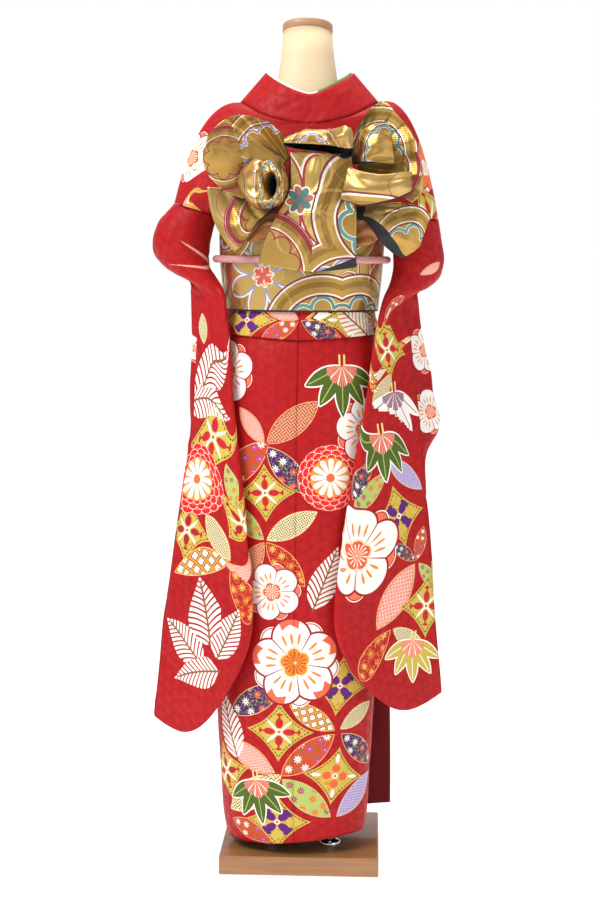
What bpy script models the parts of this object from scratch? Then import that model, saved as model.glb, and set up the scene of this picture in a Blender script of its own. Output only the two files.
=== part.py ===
"""Furisode with a tied obi, dressed on a limbless kimono form.

World axes: X to the viewer's right, Y away from the viewer, Z up.  The viewer stands at -Y and sees the
back of the garment, so the wearer faces +Y and the wearer's left is -X.  The origin is the centre of the
base board's underside.  Tables and sizes are in millimetres, and the mesh functions turn them into metres.
"""

import math
from collections import namedtuple

import bmesh
import bpy
from mathutils import Vector

MM = 0.001

# Gaps and cloth thickness
GAP = 0.5
LAYER_GAP = 1.4
SEAM_GAP = 0.8
CENTRE_GAP = 1.0
COLLAR_GAP = 1.0
CLOTH = 2.0
COLLAR_THICK = 3.0
FOLD_THICK = 3.0
OBI_THICK = 4.0
BOW_THICK = 2.5
TRIM_THICK = 1.2
UNDER_LAYER = 4.0
FRONT_LAYER = 10.0

# Stand
BOARD_SIDE = 290.0
BOARD_HEIGHT = 35.0
BOARD_BEVEL = 3.0
POLE_SPREAD = 55.0
POLE_Y = -53.0
POLE_RADIUS = 7.5
FLANGE_RADIUS = 19.5
FLANGE_HEIGHT = 9.0
REST_GAP = 0.3
FORM_BASE_Z = 770.0
CAP_HEIGHT = 14.0
CAP_DOME = 4.0

# Heights of the belt and of the waist fold
WAIST_FOLD_TOP = 1043.0
WAIST_FOLD_BOTTOM = 972.0
WAIST_FOLD_SIDE_RISE = 9.0
UPPER_BODY_BOTTOM = 1045.5
UPPER_BODY_RING_TOP = 1181.0

# Upper body: rows under the obi, and how far round its side edge and its front edges reach, in degrees
OBI_MIDDLE = 1112.0
ARMPIT_RISE = 4.0
BACK_SIDE_ANGLE = 91.5
FRONT_SIDE_ANGLE = 92.2
FRONT_REACHES = (194.0, 200.0, 206.0)
UNDER_FRONT_SINK = 4.4
BODY_COLUMNS = 8

# Skirt
HEM_Z = 61.0
HEM_SLOPE = 0.08
SIDE_SEAM_ANGLE = 100.0
OVERLAP_SEAM_ANGLE = 190.0
OUTER_EDGE_ANGLE = 245.0
UNDER_EDGE_ANGLE = 236.0
FREE_EDGE_X = 168.0
FREE_EDGE_Y = 80.0
SQUARENESS = 0.93
GARMENT_AXIS = (-8.0, -38.0)
SKIRT_RADIUS = 115.0
SKIRT_FOLD_DEPTH = 1.6
SKIRT_FOLD_FADE = 1.15
SINK_SPAN = 30.0
OVERLAP_HUG_SHARE = 0.86
OVERLAP_BELLY = 5.0

# Cord round the obi
CORD_RADIUS = 6.5
CORD_Z = 1113.0
CORD_POINTS = 40
CORD_KNOT_HALF_WIDTH = 17.0
CORD_KNOT_HALF_HEIGHT = 10.0
CORD_KNOT_DEPTH = 13.0

# The knot that carries the bow
KNOT_LEFT = -22.0
KNOT_RIGHT = 84.0
KNOT_BOTTOM = 1150.0
KNOT_TOP = 1294.0
KNOT_BACK = -157.1
KNOT_FRONT = -200.0
KNOT_BEVEL = 4.0

RingRow = namedtuple("RingRow", "z half_width half_depth centre_x centre_y")

# Outer face of the skirt, from hem to waist
SKIRT_RINGS = [
    RingRow(50, 127, 103, -8, -36),
    RingRow(95, 134, 107, -9, -36),
    RingRow(150, 137, 110, -10, -37),
    RingRow(280, 144, 115, -10, -38),
    RingRow(450, 150, 121, -9, -38),
    RingRow(650, 157, 126, -8, -38),
    RingRow(850, 158, 126, -7, -38),
    RingRow(950, 147, 118, -6, -38),
    RingRow(1000, 131, 104.5, -6, -38),
    RingRow(1021, 128.5, 102, -5.5, -38),
    RingRow(1043, 130.5, 103.5, -5.5, -38),
]

# Outer face of the obi
OBI_RINGS = [
    RingRow(1021, 138.5, 112, -5.5, -38),
    RingRow(1045, 141, 114, -5.5, -38),
    RingRow(1110, 147.5, 117.5, -6, -38),
    RingRow(1178, 150, 118.5, -5, -38),
]

FoldRow = namedtuple("FoldRow", "share swell")

# Section of the waist fold, from its rounded lower edge up to its top
WAIST_FOLD_LIFT = 1.2
WAIST_FOLD_SECTION = [
    FoldRow(0.0, 1.2),
    FoldRow(0.12, 3.2),
    FoldRow(0.45, 2.6),
    FoldRow(0.72, 0.8),
    FoldRow(1.0, 0.0),
]

WaveRow = namedtuple("WaveRow", "count phase share")

# Upright folds of the skirt as waves round it
SKIRT_WAVES = [
    WaveRow(5, 40, 1.0),
    WaveRow(9, 110, 0.6),
]

FormRow = namedtuple("FormRow", "z half_width half_depth centre_x centre_y tilt")

# Torso form from its flat base to the slanting cut of the neck
FORM_RINGS = [
    FormRow(770, 118, 86, -8, -38, 0),
    FormRow(784, 130, 96, -8, -38, 0),
    FormRow(900, 137, 104, -7, -38, 0),
    FormRow(1000, 119, 92, -6, -38, 0),
    FormRow(1042, 120.5, 93.5, -5.5, -38, 0),
    FormRow(1054, 127.5, 100.4, -5.5, -38, 0),
    FormRow(1110, 134.1, 104.2, -6, -38, 0),
    FormRow(1172, 136.0, 104.6, -5, -38, 0),
    FormRow(1215, 140, 95, -4, -37, 0),
    FormRow(1260, 151, 82, -3, -34, 0),
    FormRow(1300, 163, 70, -1, -30, 0),
    FormRow(1335, 158, 62, 0, -28, 0),
    FormRow(1362, 136, 55, 1, -27, 0),
    FormRow(1385, 104, 51, 2, -26, 0),
    FormRow(1408, 74, 49, 2, -25, 0),
    FormRow(1432, 54, 48, 2, -23, 0.04),
    FormRow(1475, 47.5, 46, 2, -21, 0.12),
    FormRow(1517, 43.5, 43, 1.5, -20, 0.21),
]

CapRow = namedtuple("CapRow", "lift grow")

# Section of the neck cap: height above the neck's cut, and how far it stands out past the neck
CAP_ROWS = [
    CapRow(0.4, 0.6),
    CapRow(1.4, 1.4),
    CapRow(CAP_HEIGHT - 1.5, 1.4),
    CapRow(CAP_HEIGHT, -0.5),
    CapRow(CAP_HEIGHT + CAP_DOME * 0.7, -18),
    CapRow(CAP_HEIGHT + CAP_DOME, -36),
]

NeckRow = namedtuple("NeckRow", "x y z top_x top_y top_z arm_angle")

# Collar seam and collar top edge from the centre back to the front, left side, and the angle round
# the armhole (0 outside, positive to the front) where the shoulder panel ends in the same row
NECK_CENTRE_X = 6.0
NECK_AXIS_Y = -20.0
FRONT_STARTS = 4
TRIM_LOW = 0.72
TRIM_HIGH = 1.05
TRIM_GAP = 0.7
TRIM_ENDS = 8
NECK_ROWS = [
    NeckRow(8, -106, 1352, 9, -93, 1404, -60),
    NeckRow(-66, -97, 1365, -37, -85, 1420, -38),
    NeckRow(-108, -62, 1388, -64, -54, 1438, -20),
    NeckRow(-119, -18, 1393, -74, -14, 1446, 0),
    NeckRow(-104, 26, 1370, -60, 27, 1422, 20),
    NeckRow(-72, 58, 1325, -28, 55, 1363, 45),
    NeckRow(-40, 79, 1280, 5, 77, 1312, 75),
    NeckRow(-9, 91, 1236, 36, 90, 1262, 105),
    NeckRow(20, 92, 1200, 60, 90, 1219, 140),
]

PanelRow = namedtuple("PanelRow", "left_x left_z right_x right_z y")

# Middle of the shoulder panel in each row of NECK_ROWS
SHOULDER_ROWS = [
    PanelRow(-126, 1305, 136, 1305, -101),
    PanelRow(-154, 1329, 162, 1331, -84),
    PanelRow(-178, 1349, 184, 1353, -58),
    PanelRow(-186, 1347, 192, 1353, -34),
    PanelRow(-178, 1336, 184, 1342, -8),
    PanelRow(-158, 1312, 166, 1314, 18),
    PanelRow(-136, 1278, 144, 1280, 42),
    PanelRow(-110, 1240, 118, 1240, 62),
    PanelRow(-86, 1208, 92, 1208, 78),
]

BackRow = namedtuple("BackRow", "centre_x centre_y centre_z middle_x middle_y middle_z arm_angle")

# Upper back between the obi and the collar; the middle column is mirrored for the right side
UPPER_BACK_ROWS = [
    BackRow(-3, -141, 1212, -96, -126, 1205, -140),
    BackRow(0, -127, 1258, -110, -119, 1240, -112),
    BackRow(4, -115, 1306, -122, -110, 1276, -85),
]

ArmRow = namedtuple("ArmRow", "outer_x outer_z inner_x inner_z centre_y half_depth")

# Gathered upper sleeve from the armhole seam down to the elbow
LEFT_ARM = [
    ArmRow(-236, 1213, -160, 1190, -42, 58),
    ArmRow(-262, 1180, -166, 1166, -44, 62),
    ArmRow(-274, 1142, -171, 1140, -48, 60),
    ArmRow(-262, 1108, -171, 1114, -56, 48),
    ArmRow(-234, 1088, -169, 1098, -70, 34),
    ArmRow(-206, 1074, -158, 1082, -86, 22),
]
RIGHT_ARM = [
    ArmRow(240, 1186, 152, 1190, -42, 58),
    ArmRow(246, 1150, 157, 1156, -44, 60),
    ArmRow(252, 1112, 159, 1124, -48, 56),
    ArmRow(244, 1082, 159, 1102, -58, 42),
    ArmRow(222, 1064, 157, 1088, -72, 30),
    ArmRow(204, 1056, 154, 1074, -86, 22),
]

BagRow = namedtuple("BagRow", "outer_z far_x far_y near_x near_y inner_z inner_x inner_y sag")

# Hanging sleeve: the two edges of its open side, its closed edge and the sag of the row between them
LEFT_BAG = [
    BagRow(1050, -205, -56, -180, -98, 1056, -143, -112, 0),
    BagRow(1005, -205, -44, -188, -88, 1010, -134, -124, 0),
    BagRow(950, -206, -34, -193, -80, 954, -128, -136, 0),
    BagRow(860, -208, -32, -196, -76, 865, -121, -152, 0),
    BagRow(785, -209, -32, -201, -74, 792, -113, -160, 0),
    BagRow(712, -219, -32, -214, -74, 722, -105, -164, 0),
    BagRow(638, -230, -32, -223, -74, 650, -95.5, -167, 0),
    BagRow(563, -241, -32, -236, -74, 578, -88, -168, 0),
    BagRow(490, -251, -33, -247, -74, 506, -82.5, -168, 0),
    BagRow(430, -259, -34, -254, -74, 456, -83.5, -167, -8),
    BagRow(372, -264, -36, -259, -73, 415, -92, -165, -20),
    BagRow(321, -269, -40, -264, -71, 382, -104, -160, -36),
    BagRow(272, -274, -46, -270, -66, 354, -118, -150, -55),
]
RIGHT_BAG = [
    BagRow(1036, 206, -56, 179, -98, 1048, 145, -112, 0),
    BagRow(970, 215, -40, 193, -86, 974, 128, -132, 0),
    BagRow(917, 228, -30, 198, -80, 921, 121, -144, 0),
    BagRow(863, 236, -26, 206, -78, 868, 113, -153, 0),
    BagRow(809, 246, -24, 212, -77, 815, 105, -160, 0),
    BagRow(764, 225, -30, 216, -76, 772, 99, -164, 0),
    BagRow(700, 224, -32, 221, -75, 708, 89, -167, 0),
    BagRow(628, 231, -32, 229, -75, 638, 79, -170, 0),
    BagRow(560, 237, -32, 235, -75, 572, 70, -172, 0),
    BagRow(500, 242, -33, 241, -75, 516, 63.5, -172, -2),
    BagRow(445, 247, -34, 246, -74, 470, 62, -171, -8),
    BagRow(400, 251, -36, 250, -73, 432, 70, -168, -18),
    BagRow(362, 255, -40, 254, -71, 398, 85, -163, -31),
    BagRow(326, 258, -46, 257, -66, 371, 101, -154, -46),
]
SLEEVE_COLUMNS = 16
CLOSED_EDGE_ROUNDING = 0.5
SLEEVE_WAVE = 3.0
SLEEVE_BACK_Y = -110.0

FanRow = namedtuple("FanRow", "angle reach depth")

# Pleated wings of the bow: ray angle (0 to +X, 90 up), length of the ray and depth of its end
LEFT_FAN_ROOT = (-20.2, -171.0, 1277.0)
LEFT_FAN = [
    FanRow(104, 48, -186),
    FanRow(116, 74, -212),
    FanRow(127, 97, -190),
    FanRow(136, 118, -216),
    FanRow(147, 137, -192),
    FanRow(160, 148, -202),
    FanRow(172, 150, -214),
    FanRow(184, 147, -204),
    FanRow(199, 128, -190),
    FanRow(216, 101, -186),
]
RIGHT_FAN_ROOT = (85.3, -163.0, 1275.0)
RIGHT_FAN = [
    FanRow(89, 46, -180),
    FanRow(77, 80, -194),
    FanRow(66, 121, -184),
    FanRow(53, 117, -200),
    FanRow(40, 116, -184),
    FanRow(22, 117, -198),
    FanRow(5, 116, -184),
    FanRow(-8, 121, -196),
    FanRow(-20, 122, -184),
    FanRow(-31, 109, -190),
]
FAN_ROOT_RADIUS = 10.0
FAN_STEPS = 5
PLEAT_GROWTH = 1.8

FlapRow = namedtuple("FlapRow", "a_x a_y a_z b_x b_y b_z bulge")

# Folded pieces of the bow: the two edges of each row and how far its middle swells towards the viewer
CENTRE_PANEL = [
    FlapRow(-20, -203.2, 1290, 83, -203.2, 1287, 0),
    FlapRow(-20.5, -205, 1234, 92, -206, 1240, 6),
    FlapRow(-42, -207, 1190, 94, -208, 1194, 12),
    FlapRow(-62, -202, 1150, 94.5, -204, 1150, 10),
    FlapRow(-75, -196, 1107, 95, -198, 1101, 6),
]
CENTRE_PANEL_DIP = 11.0
LEFT_LOWER_WING = [
    FlapRow(-166, -177, 1238, -22.7, -172, 1224, 0),
    FlapRow(-159, -178, 1196, -40, -176, 1206, 3),
    FlapRow(-146, -180, 1163, -76, -180, 1176, 7),
    FlapRow(-128, -180, 1138, -98, -180, 1147, 4),
    FlapRow(-117, -179, 1127, -110, -179, 1130, 1),
]
RIGHT_LOWER_WING = [
    FlapRow(84.6, -170, 1204, 84.6, -170, 1186, 0),
    FlapRow(122, -178, 1207, 112, -176, 1178, 4),
    FlapRow(162, -184, 1213, 140, -182, 1141, 9),
    FlapRow(206, -182, 1205, 176, -180, 1118, 7),
    FlapRow(223, -176, 1190, 204, -176, 1140, 3),
]
RIGHT_MIDDLE_FOLD = [
    FlapRow(84.6, -178, 1292, 84.6, -178, 1276, 0),
    FlapRow(97, -204, 1331, 104, -206, 1279, 3),
    FlapRow(126, -211, 1345, 132, -210, 1278, 9),
    FlapRow(150, -207, 1345, 158, -206, 1277, 4),
]
RIGHT_BIG_LOOP = [
    FlapRow(80, -222, 1272, 66, -224, 1217, 3),
    FlapRow(104, -229, 1263, 100, -230, 1205, 8),
    FlapRow(143, -228, 1259, 132, -229, 1209, 9),
    FlapRow(178, -219, 1264, 168, -220, 1220, 5),
    FlapRow(190, -209, 1262, 186, -209, 1231, 0),
    FlapRow(176, -200, 1258, 172, -200, 1228, -2),
    FlapRow(130, -196, 1262, 130, -196, 1220, -1),
    FlapRow(84.6, -192, 1264, 84.6, -192, 1216, 0),
]
LEFT_TUCK = [
    FlapRow(-22.7, -163, 1190, -22.7, -163, 1152, 0),
    FlapRow(-56, -164, 1194, -58, -164, 1146, 2),
    FlapRow(-76, -164, 1182, -78, -164, 1143, 2),
    FlapRow(-100, -162, 1154, -99, -162, 1144, 0),
]
RIGHT_TUCK = [
    FlapRow(84.6, -161.5, 1180, 84.6, -161.5, 1152, 0),
    FlapRow(104, -164, 1183, 101, -164, 1135, 2),
    FlapRow(121, -164, 1184, 119, -164, 1141, 2),
    FlapRow(133, -162, 1163, 131, -162, 1149, 0),
]

LoopRow = namedtuple("LoopRow", "x z half_height y half_depth")

# Twisted loop on top of the knot
TOP_LOOP = [
    LoopRow(-31, 1313, 5, -214, 6),
    LoopRow(-19, 1315, 11, -208, 14),
    LoopRow(12, 1316.6, 18, -201, 21),
    LoopRow(40, 1315.8, 20, -198, 23),
    LoopRow(62, 1313, 25, -215, 22),
    LoopRow(76, 1312, 29, -225, 18),
    LoopRow(88, 1309, 19, -226, 9),
]

RosetteRow = namedtuple("RosetteRow", "share depth")

# Rosette loop: share of the way from the dark hole's edge to the outline, and depth
ROSETTE_CENTRE = (-64.5, 1243.0)
ROSETTE_HALF = (42.0, 43.0)
ROSETTE_HOLE_CENTRE = (-50.0, 1239.0)
ROSETTE_HOLE_HALF = (9.0, 20.0)
ROSETTE_ROWS = [
    RosetteRow(1.0, -197),
    RosetteRow(0.97, -214),
    RosetteRow(0.78, -232),
    RosetteRow(0.45, -241),
    RosetteRow(0.15, -240),
    RosetteRow(0.0, -230),
    RosetteRow(0.02, -212),
]
ROSETTE_SPOKES = 18


def catmull_rom(rows, at):
    """Row of numbers at position `at` on the smooth curve through the rows."""
    last = len(rows) - 1
    first = min(int(at), last - 1)
    t = at - first
    p1 = rows[first]
    p2 = rows[first + 1]
    p0 = rows[first - 1] if first > 0 else [2 * a - b for a, b in zip(p1, p2)]
    p3 = rows[first + 2] if first + 2 <= last else [2 * b - a for a, b in zip(p1, p2)]
    return [
        0.5 * (2 * b + (c - a) * t + (2 * a - 5 * b + 4 * c - d) * t ** 2 + (3 * b - a - 3 * c + d) * t ** 3)
        for a, b, c, d in zip(p0, p1, p2, p3)
    ]


def smooth_rows(rows, count):
    """Resample a table to `count` rows along the smooth curve through it."""
    kind = type(rows[0])
    return [kind(*catmull_rom(rows, (len(rows) - 1) * i / (count - 1))) for i in range(count)]


def row_at_height(rows, z):
    """Row of a table interpolated at height z, the first column being the height."""
    for low, high in zip(rows, rows[1:]):
        if z <= high.z or high is rows[-1]:
            t = (z - low.z) / (high.z - low.z)
            return type(low)(*(a + (b - a) * t for a, b in zip(low, high)))


def ring_point(row, angle, inset=0.0, z=None):
    """Point of a rounded ring; angle 0 is the centre back and 90 the viewer's right side."""
    sine = math.sin(math.radians(angle))
    cosine = math.cos(math.radians(angle))
    across = math.copysign(abs(sine) ** SQUARENESS, sine)
    along = math.copysign(abs(cosine) ** SQUARENESS, cosine)
    return Vector((
        row.centre_x + (row.half_width - inset) * across,
        row.centre_y - (row.half_depth - inset) * along,
        row.z if z is None else z,
    ))


def material(name, colour, roughness, metallic=0.0):
    """Principled material with a plain colour."""
    made = bpy.data.materials.new(name)
    made.use_nodes = True
    shader = made.node_tree.nodes["Principled BSDF"]
    shader.inputs["Base Color"].default_value = (*colour, 1.0)
    shader.inputs["Roughness"].default_value = roughness
    shader.inputs["Metallic"].default_value = metallic
    return made


def finish(name, mesh, made_of):
    """Put a mesh in the scene as a named object, shaded smooth."""
    mesh.materials.append(made_of)
    mesh.shade_smooth()
    mesh.set_sharp_from_angle(angle=math.radians(50))
    item = bpy.data.objects.new(name, mesh)
    bpy.context.scene.collection.objects.link(item)
    return item


def mesh_from(name, points, faces, behind=None):
    """Mesh in metres from points in millimetres, its faces turned away from the point `behind`."""
    mesh = bpy.data.meshes.new(name)
    mesh.from_pydata([tuple(point * MM for point in p) for p in points], [], faces)
    mesh.update()
    if behind is not None:
        back = Vector(behind) * MM
        facing = sum((face.center - back).dot(face.normal) * face.area for face in mesh.polygons)
        if facing < 0:
            mesh.flip_normals()
    return mesh


def wall(name, rows, thickness, made_of, behind, closed=False):
    """Cloth wall through a grid of points; it gains its thickness away from its outer face."""
    columns = len(rows[0])
    points = [point for row in rows for point in row]
    faces = []
    for r in range(len(rows) - 1):
        for c in range(columns if closed else columns - 1):
            d = (c + 1) % columns
            faces.append((r * columns + c, r * columns + d, (r + 1) * columns + d, (r + 1) * columns + c))
    return thicken(name, mesh_from(name, points, faces, behind), thickness, made_of)


def thicken(name, mesh, thickness, made_of):
    """Finish an open surface as a cloth wall."""
    item = finish(name, mesh, made_of)
    solidify = item.modifiers.new("cloth", "SOLIDIFY")
    solidify.thickness = thickness * MM
    solidify.offset = -1.0
    return item


def turn_outwards(mesh):
    """Turn all faces of a closed mesh outwards."""
    shape = bmesh.new()
    shape.from_mesh(mesh)
    bmesh.ops.recalc_face_normals(shape, faces=shape.faces)
    shape.to_mesh(mesh)
    shape.free()


def solid(name, rows, made_of):
    """Closed body through rings of points, with a flat end at each side."""
    columns = len(rows[0])
    points = [point for row in rows for point in row]
    faces = [tuple(range(columns)), tuple(range(len(points) - 1, len(points) - columns - 1, -1))]
    for r in range(len(rows) - 1):
        for c in range(columns):
            d = (c + 1) % columns
            faces.append((r * columns + c, (r + 1) * columns + c, (r + 1) * columns + d, r * columns + d))
    mesh = mesh_from(name, points, faces)
    turn_outwards(mesh)
    return finish(name, mesh, made_of)


def turned(name, profile, centre, made_of, steps=24):
    """Round body turned from (radius, height) pairs about a vertical axis."""
    rows = []
    for radius, height in profile:
        rows.append([
            (centre[0] + radius * math.cos(2 * math.pi * i / steps),
             centre[1] + radius * math.sin(2 * math.pi * i / steps), height)
            for i in range(steps)
        ])
    return solid(name, rows, made_of)


def block(name, low, high, bevel_width, made_of):
    """Box between two corners, its edges rounded."""
    low = Vector(low) * MM
    high = Vector(high) * MM
    mesh = bpy.data.meshes.new(name)
    shape = bmesh.new()
    bmesh.ops.create_cube(shape, size=1.0)
    bmesh.ops.scale(shape, verts=shape.verts, vec=high - low)
    bmesh.ops.translate(shape, verts=shape.verts, vec=(low + high) / 2)
    shape.to_mesh(mesh)
    shape.free()
    item = finish(name, mesh, made_of)
    bevel = item.modifiers.new("rounded edges", "BEVEL")
    bevel.width = bevel_width * MM
    bevel.segments = 2


def build_stand(beech, chrome, steel):
    """Base board, two poles and the flanges that hold them."""
    edge = BOARD_SIDE / 2
    block("base_board", (-edge, -edge, 0), (edge, edge, BOARD_HEIGHT), BOARD_BEVEL, beech)
    top = BOARD_HEIGHT + REST_GAP
    for side, sign in (("left", -1), ("right", 1)):
        centre = (sign * POLE_SPREAD, POLE_Y)
        pole = [(POLE_RADIUS, top), (POLE_RADIUS, FORM_BASE_Z - REST_GAP)]
        turned("pole_" + side, pole, centre, steel)
        hole = POLE_RADIUS + REST_GAP
        rim = [
            (hole, top), (FLANGE_RADIUS, top), (FLANGE_RADIUS, top + FLANGE_HEIGHT * 0.4),
            (FLANGE_RADIUS - 2.5, top + FLANGE_HEIGHT * 0.62), (hole + 3.5, top + FLANGE_HEIGHT * 0.75),
            (hole + 2.5, top + FLANGE_HEIGHT), (hole, top + FLANGE_HEIGHT),
        ]
        turned_ring("pole_flange_" + side, rim, centre, chrome)


def turned_ring(name, profile, centre, made_of, steps=24):
    """Ring turned from a closed profile of (radius, height) pairs."""
    columns = len(profile)
    points = []
    for i in range(steps):
        turn = 2 * math.pi * i / steps
        points += [
            (centre[0] + radius * math.cos(turn), centre[1] + radius * math.sin(turn), height)
            for radius, height in profile
        ]
    faces = []
    for i in range(steps):
        j = (i + 1) % steps
        for c in range(columns):
            d = (c + 1) % columns
            faces.append((i * columns + c, j * columns + c, j * columns + d, i * columns + d))
    mesh = mesh_from(name, points, faces)
    turn_outwards(mesh)
    return finish(name, mesh, made_of)


def form_ring(row, lift=0.0, grow=0.0, steps=24):
    """Ring of the torso form, tilted where the neck is cut on a slant."""
    points = []
    for i in range(steps):
        point = ring_point(row, 360.0 * i / steps, inset=-grow)
        point.z += lift - (point.y - row.centre_y) * row.tilt
        points.append(point)
    return points


def build_form(cream, beech):
    """Torso form and the wooden cap on its neck."""
    rows = [form_ring(row) for row in FORM_RINGS]
    solid("torso_form", rows, cream)
    solid("neck_cap", [form_ring(FORM_RINGS[-1], row.lift, row.grow) for row in CAP_ROWS], beech)


def hem_height(x):
    """Height of the hem, which climbs a little to the viewer's right."""
    return HEM_Z + HEM_SLOPE * x


def skirt_folds(angle, height_share):
    """Soft upright folds of the skirt, strongest at the hem."""
    swing = sum(row.share * math.cos(math.radians(row.count * angle + row.phase)) for row in SKIRT_WAVES)
    return SKIRT_FOLD_DEPTH * swing * (1.0 - height_share) ** 0.7


def skirt_point(angle, share, inset):
    """Point of the skirt at an angle, at a share of the way from the hem to the waist."""
    foot = ring_point(row_at_height(SKIRT_RINGS, HEM_Z), angle)
    low = hem_height(foot.x)
    z = low + (WAIST_FOLD_TOP - GAP - low) * share
    row = row_at_height(SKIRT_RINGS, z)
    return ring_point(row, angle, inset - skirt_folds(angle, min(1.0, share * SKIRT_FOLD_FADE)), z)


def skirt_shares():
    """Shares of the skirt's height where a row of points lies: the hem and each row of the ring table."""
    return [0.0] + [(row.z - HEM_Z) / (WAIST_FOLD_TOP - HEM_Z) for row in SKIRT_RINGS[1:]]


def skirt_panel(name, start, end, columns, made_of, inset):
    """One panel of the skirt between two seam angles; inset(angle) sinks it under another layer."""
    angles = [start + (end - start) * c / columns for c in range(columns + 1)]
    rows = [[skirt_point(angle, share, inset(angle)) for angle in angles] for share in skirt_shares()]
    wall(name, rows, CLOTH, made_of, behind=(*GARMENT_AXIS, 500))


def under_inset(angle):
    """How deep the under layer lies: it sinks over the first degrees after the side seam."""
    return UNDER_LAYER * min(1.0, max(0.0, (abs(angle) - SIDE_SEAM_ANGLE) / SINK_SPAN))


def outer_overlap(made_of):
    """Overlap panel of the outer front: its lower part leaves the form and stands straight out."""
    columns = 8
    start = -(OVERLAP_SEAM_ANGLE + seam_angle())
    rows = []
    for share in skirt_shares():
        loose = max(0.0, 1.0 - (share / OVERLAP_HUG_SHARE) ** 2)
        root = skirt_point(start, share, 0.0)
        edge_z = hem_height(FREE_EDGE_X) * (1 - share) + (WAIST_FOLD_TOP - GAP) * share
        edge = Vector((FREE_EDGE_X, FREE_EDGE_Y, edge_z))
        row = []
        for c in range(columns + 1):
            part = c / columns
            hugging = skirt_point(start + (start + OUTER_EDGE_ANGLE) * -part, share, 0.0)
            straight = root.lerp(edge, part)
            straight.y += OVERLAP_BELLY * math.sin(math.pi * part)
            row.append(hugging.lerp(straight, loose))
        rows.append(row)
    wall("skirt_overlap_left", rows, CLOTH, made_of, behind=(*GARMENT_AXIS, 500))


def seam_angle():
    """Half of the seam gap as an angle on the skirt."""
    return math.degrees(SEAM_GAP / 2 / SKIRT_RADIUS)


def build_skirt(silk):
    """Six panels: two backs, two fronts and two overlap panels."""
    half = seam_angle()
    flat = lambda angle: 0.0
    side = SIDE_SEAM_ANGLE
    lap = OVERLAP_SEAM_ANGLE
    skirt_panel("skirt_back_left", -half, -side + half, 9, silk, flat)
    skirt_panel("skirt_back_right", half, side - half, 9, silk, flat)
    skirt_panel("skirt_front_left", -side - half, -lap + half, 8, silk, flat)
    outer_overlap(silk)
    skirt_panel("skirt_front_right", side + half, lap - half, 8, silk, under_inset)
    skirt_panel("skirt_overlap_right", lap + half, UNDER_EDGE_ANGLE, 5, silk, under_inset)


def build_waist_fold(silk):
    """Fold of body cloth that hangs out below the obi, in a left and a right half."""
    half = seam_angle()
    for side, start, end in (("left", -half, -180 + half), ("right", half, 180 - half)):
        rows = []
        columns = 16
        for share, swell in WAIST_FOLD_SECTION:
            row = []
            for c in range(columns + 1):
                angle = start + (end - start) * c / columns
                low = WAIST_FOLD_BOTTOM + WAIST_FOLD_SIDE_RISE * abs(math.sin(math.radians(angle)))
                z = low + (WAIST_FOLD_TOP - low) * share
                base = row_at_height(SKIRT_RINGS, z)
                stands_out = WAIST_FOLD_LIFT + FOLD_THICK + swell * (1 - share)
                row.append(ring_point(base, angle, -stands_out, z))
            rows.append(row)
        wall("waist_fold_" + side, rows, FOLD_THICK, silk, behind=(*GARMENT_AXIS, 1000))


def body_ring(z, angle, inset=0.0, lift=0.0):
    """Point of the cloth under the obi."""
    point = ring_point(row_at_height(OBI_RINGS, z), angle, OBI_THICK + LAYER_GAP + inset, z)
    point.z += lift
    return point


def arm_ring_point(row, angle, lift=0.0):
    """Point of a sleeve ring; angle 0 is outside, 90 the wearer's front and 180 the armpit."""
    cosine = math.cos(math.radians(angle))
    sine = math.sin(math.radians(angle))
    middle_x = (row.outer_x + row.inner_x) / 2
    middle_z = (row.outer_z + row.inner_z) / 2
    return Vector((
        middle_x + (row.outer_x - middle_x) * cosine,
        row.centre_y + row.half_depth * sine,
        middle_z + (row.outer_z - middle_z) * cosine + lift,
    ))


def arc_row(start, middle, end, columns):
    """Points of the parabola through three points."""
    row = []
    for c in range(columns + 1):
        t = c / columns
        row.append(start * ((1 - t) * (1 - 2 * t)) + middle * (4 * t * (1 - t)) + end * (t * (2 * t - 1)))
    return row


def neck_point(row, side, layer, top=False):
    """Point of the collar seam or top edge on one side; the right front lies under the left."""
    x, y, z = (row.top_x, row.top_y, row.top_z) if top else (row.x, row.y, row.z)
    if side > 0:
        x = 2 * NECK_CENTRE_X - x
    return Vector((x, y - layer, z))


def layer_of(index, side):
    """Depth by which a row of the right front sinks under the left front."""
    if side < 0:
        return 0.0
    return FRONT_LAYER * min(1.0, max(0.0, (index - FRONT_STARTS) / 2.0))


def neckline(steps):
    """Seam and top edge of the collar from the left front round the back to the right front.

    Each row is (seam x, y, z, top x, y, z), with `steps` rows for each row of NECK_ROWS.
    """
    left = []
    right = []
    for index, row in enumerate(NECK_ROWS):
        for side, rows in ((-1, left), (1, right)):
            layer = layer_of(index, side)
            rows.append((*neck_point(row, side, layer), *neck_point(row, side, layer, top=True)))
    path = left[::-1] + right[1:]
    count = (len(path) - 1) * steps
    return [catmull_rom(path, i / steps) for i in range(count + 1)]


def under_obi_back(side, rise):
    """Rows of the upper body's back under the obi, which climb towards the armpit."""
    half = seam_angle()
    rows = []
    for z, lift in ((UPPER_BODY_BOTTOM, 0.0), (OBI_MIDDLE, 0.0), (UPPER_BODY_RING_TOP, rise)):
        row = []
        for c in range(BODY_COLUMNS + 1):
            t = c / BODY_COLUMNS
            row.append(body_ring(z, side * (half + (BACK_SIDE_ANGLE - half) * t), lift=lift * t ** 2))
        rows.append(row)
    return rows


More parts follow.
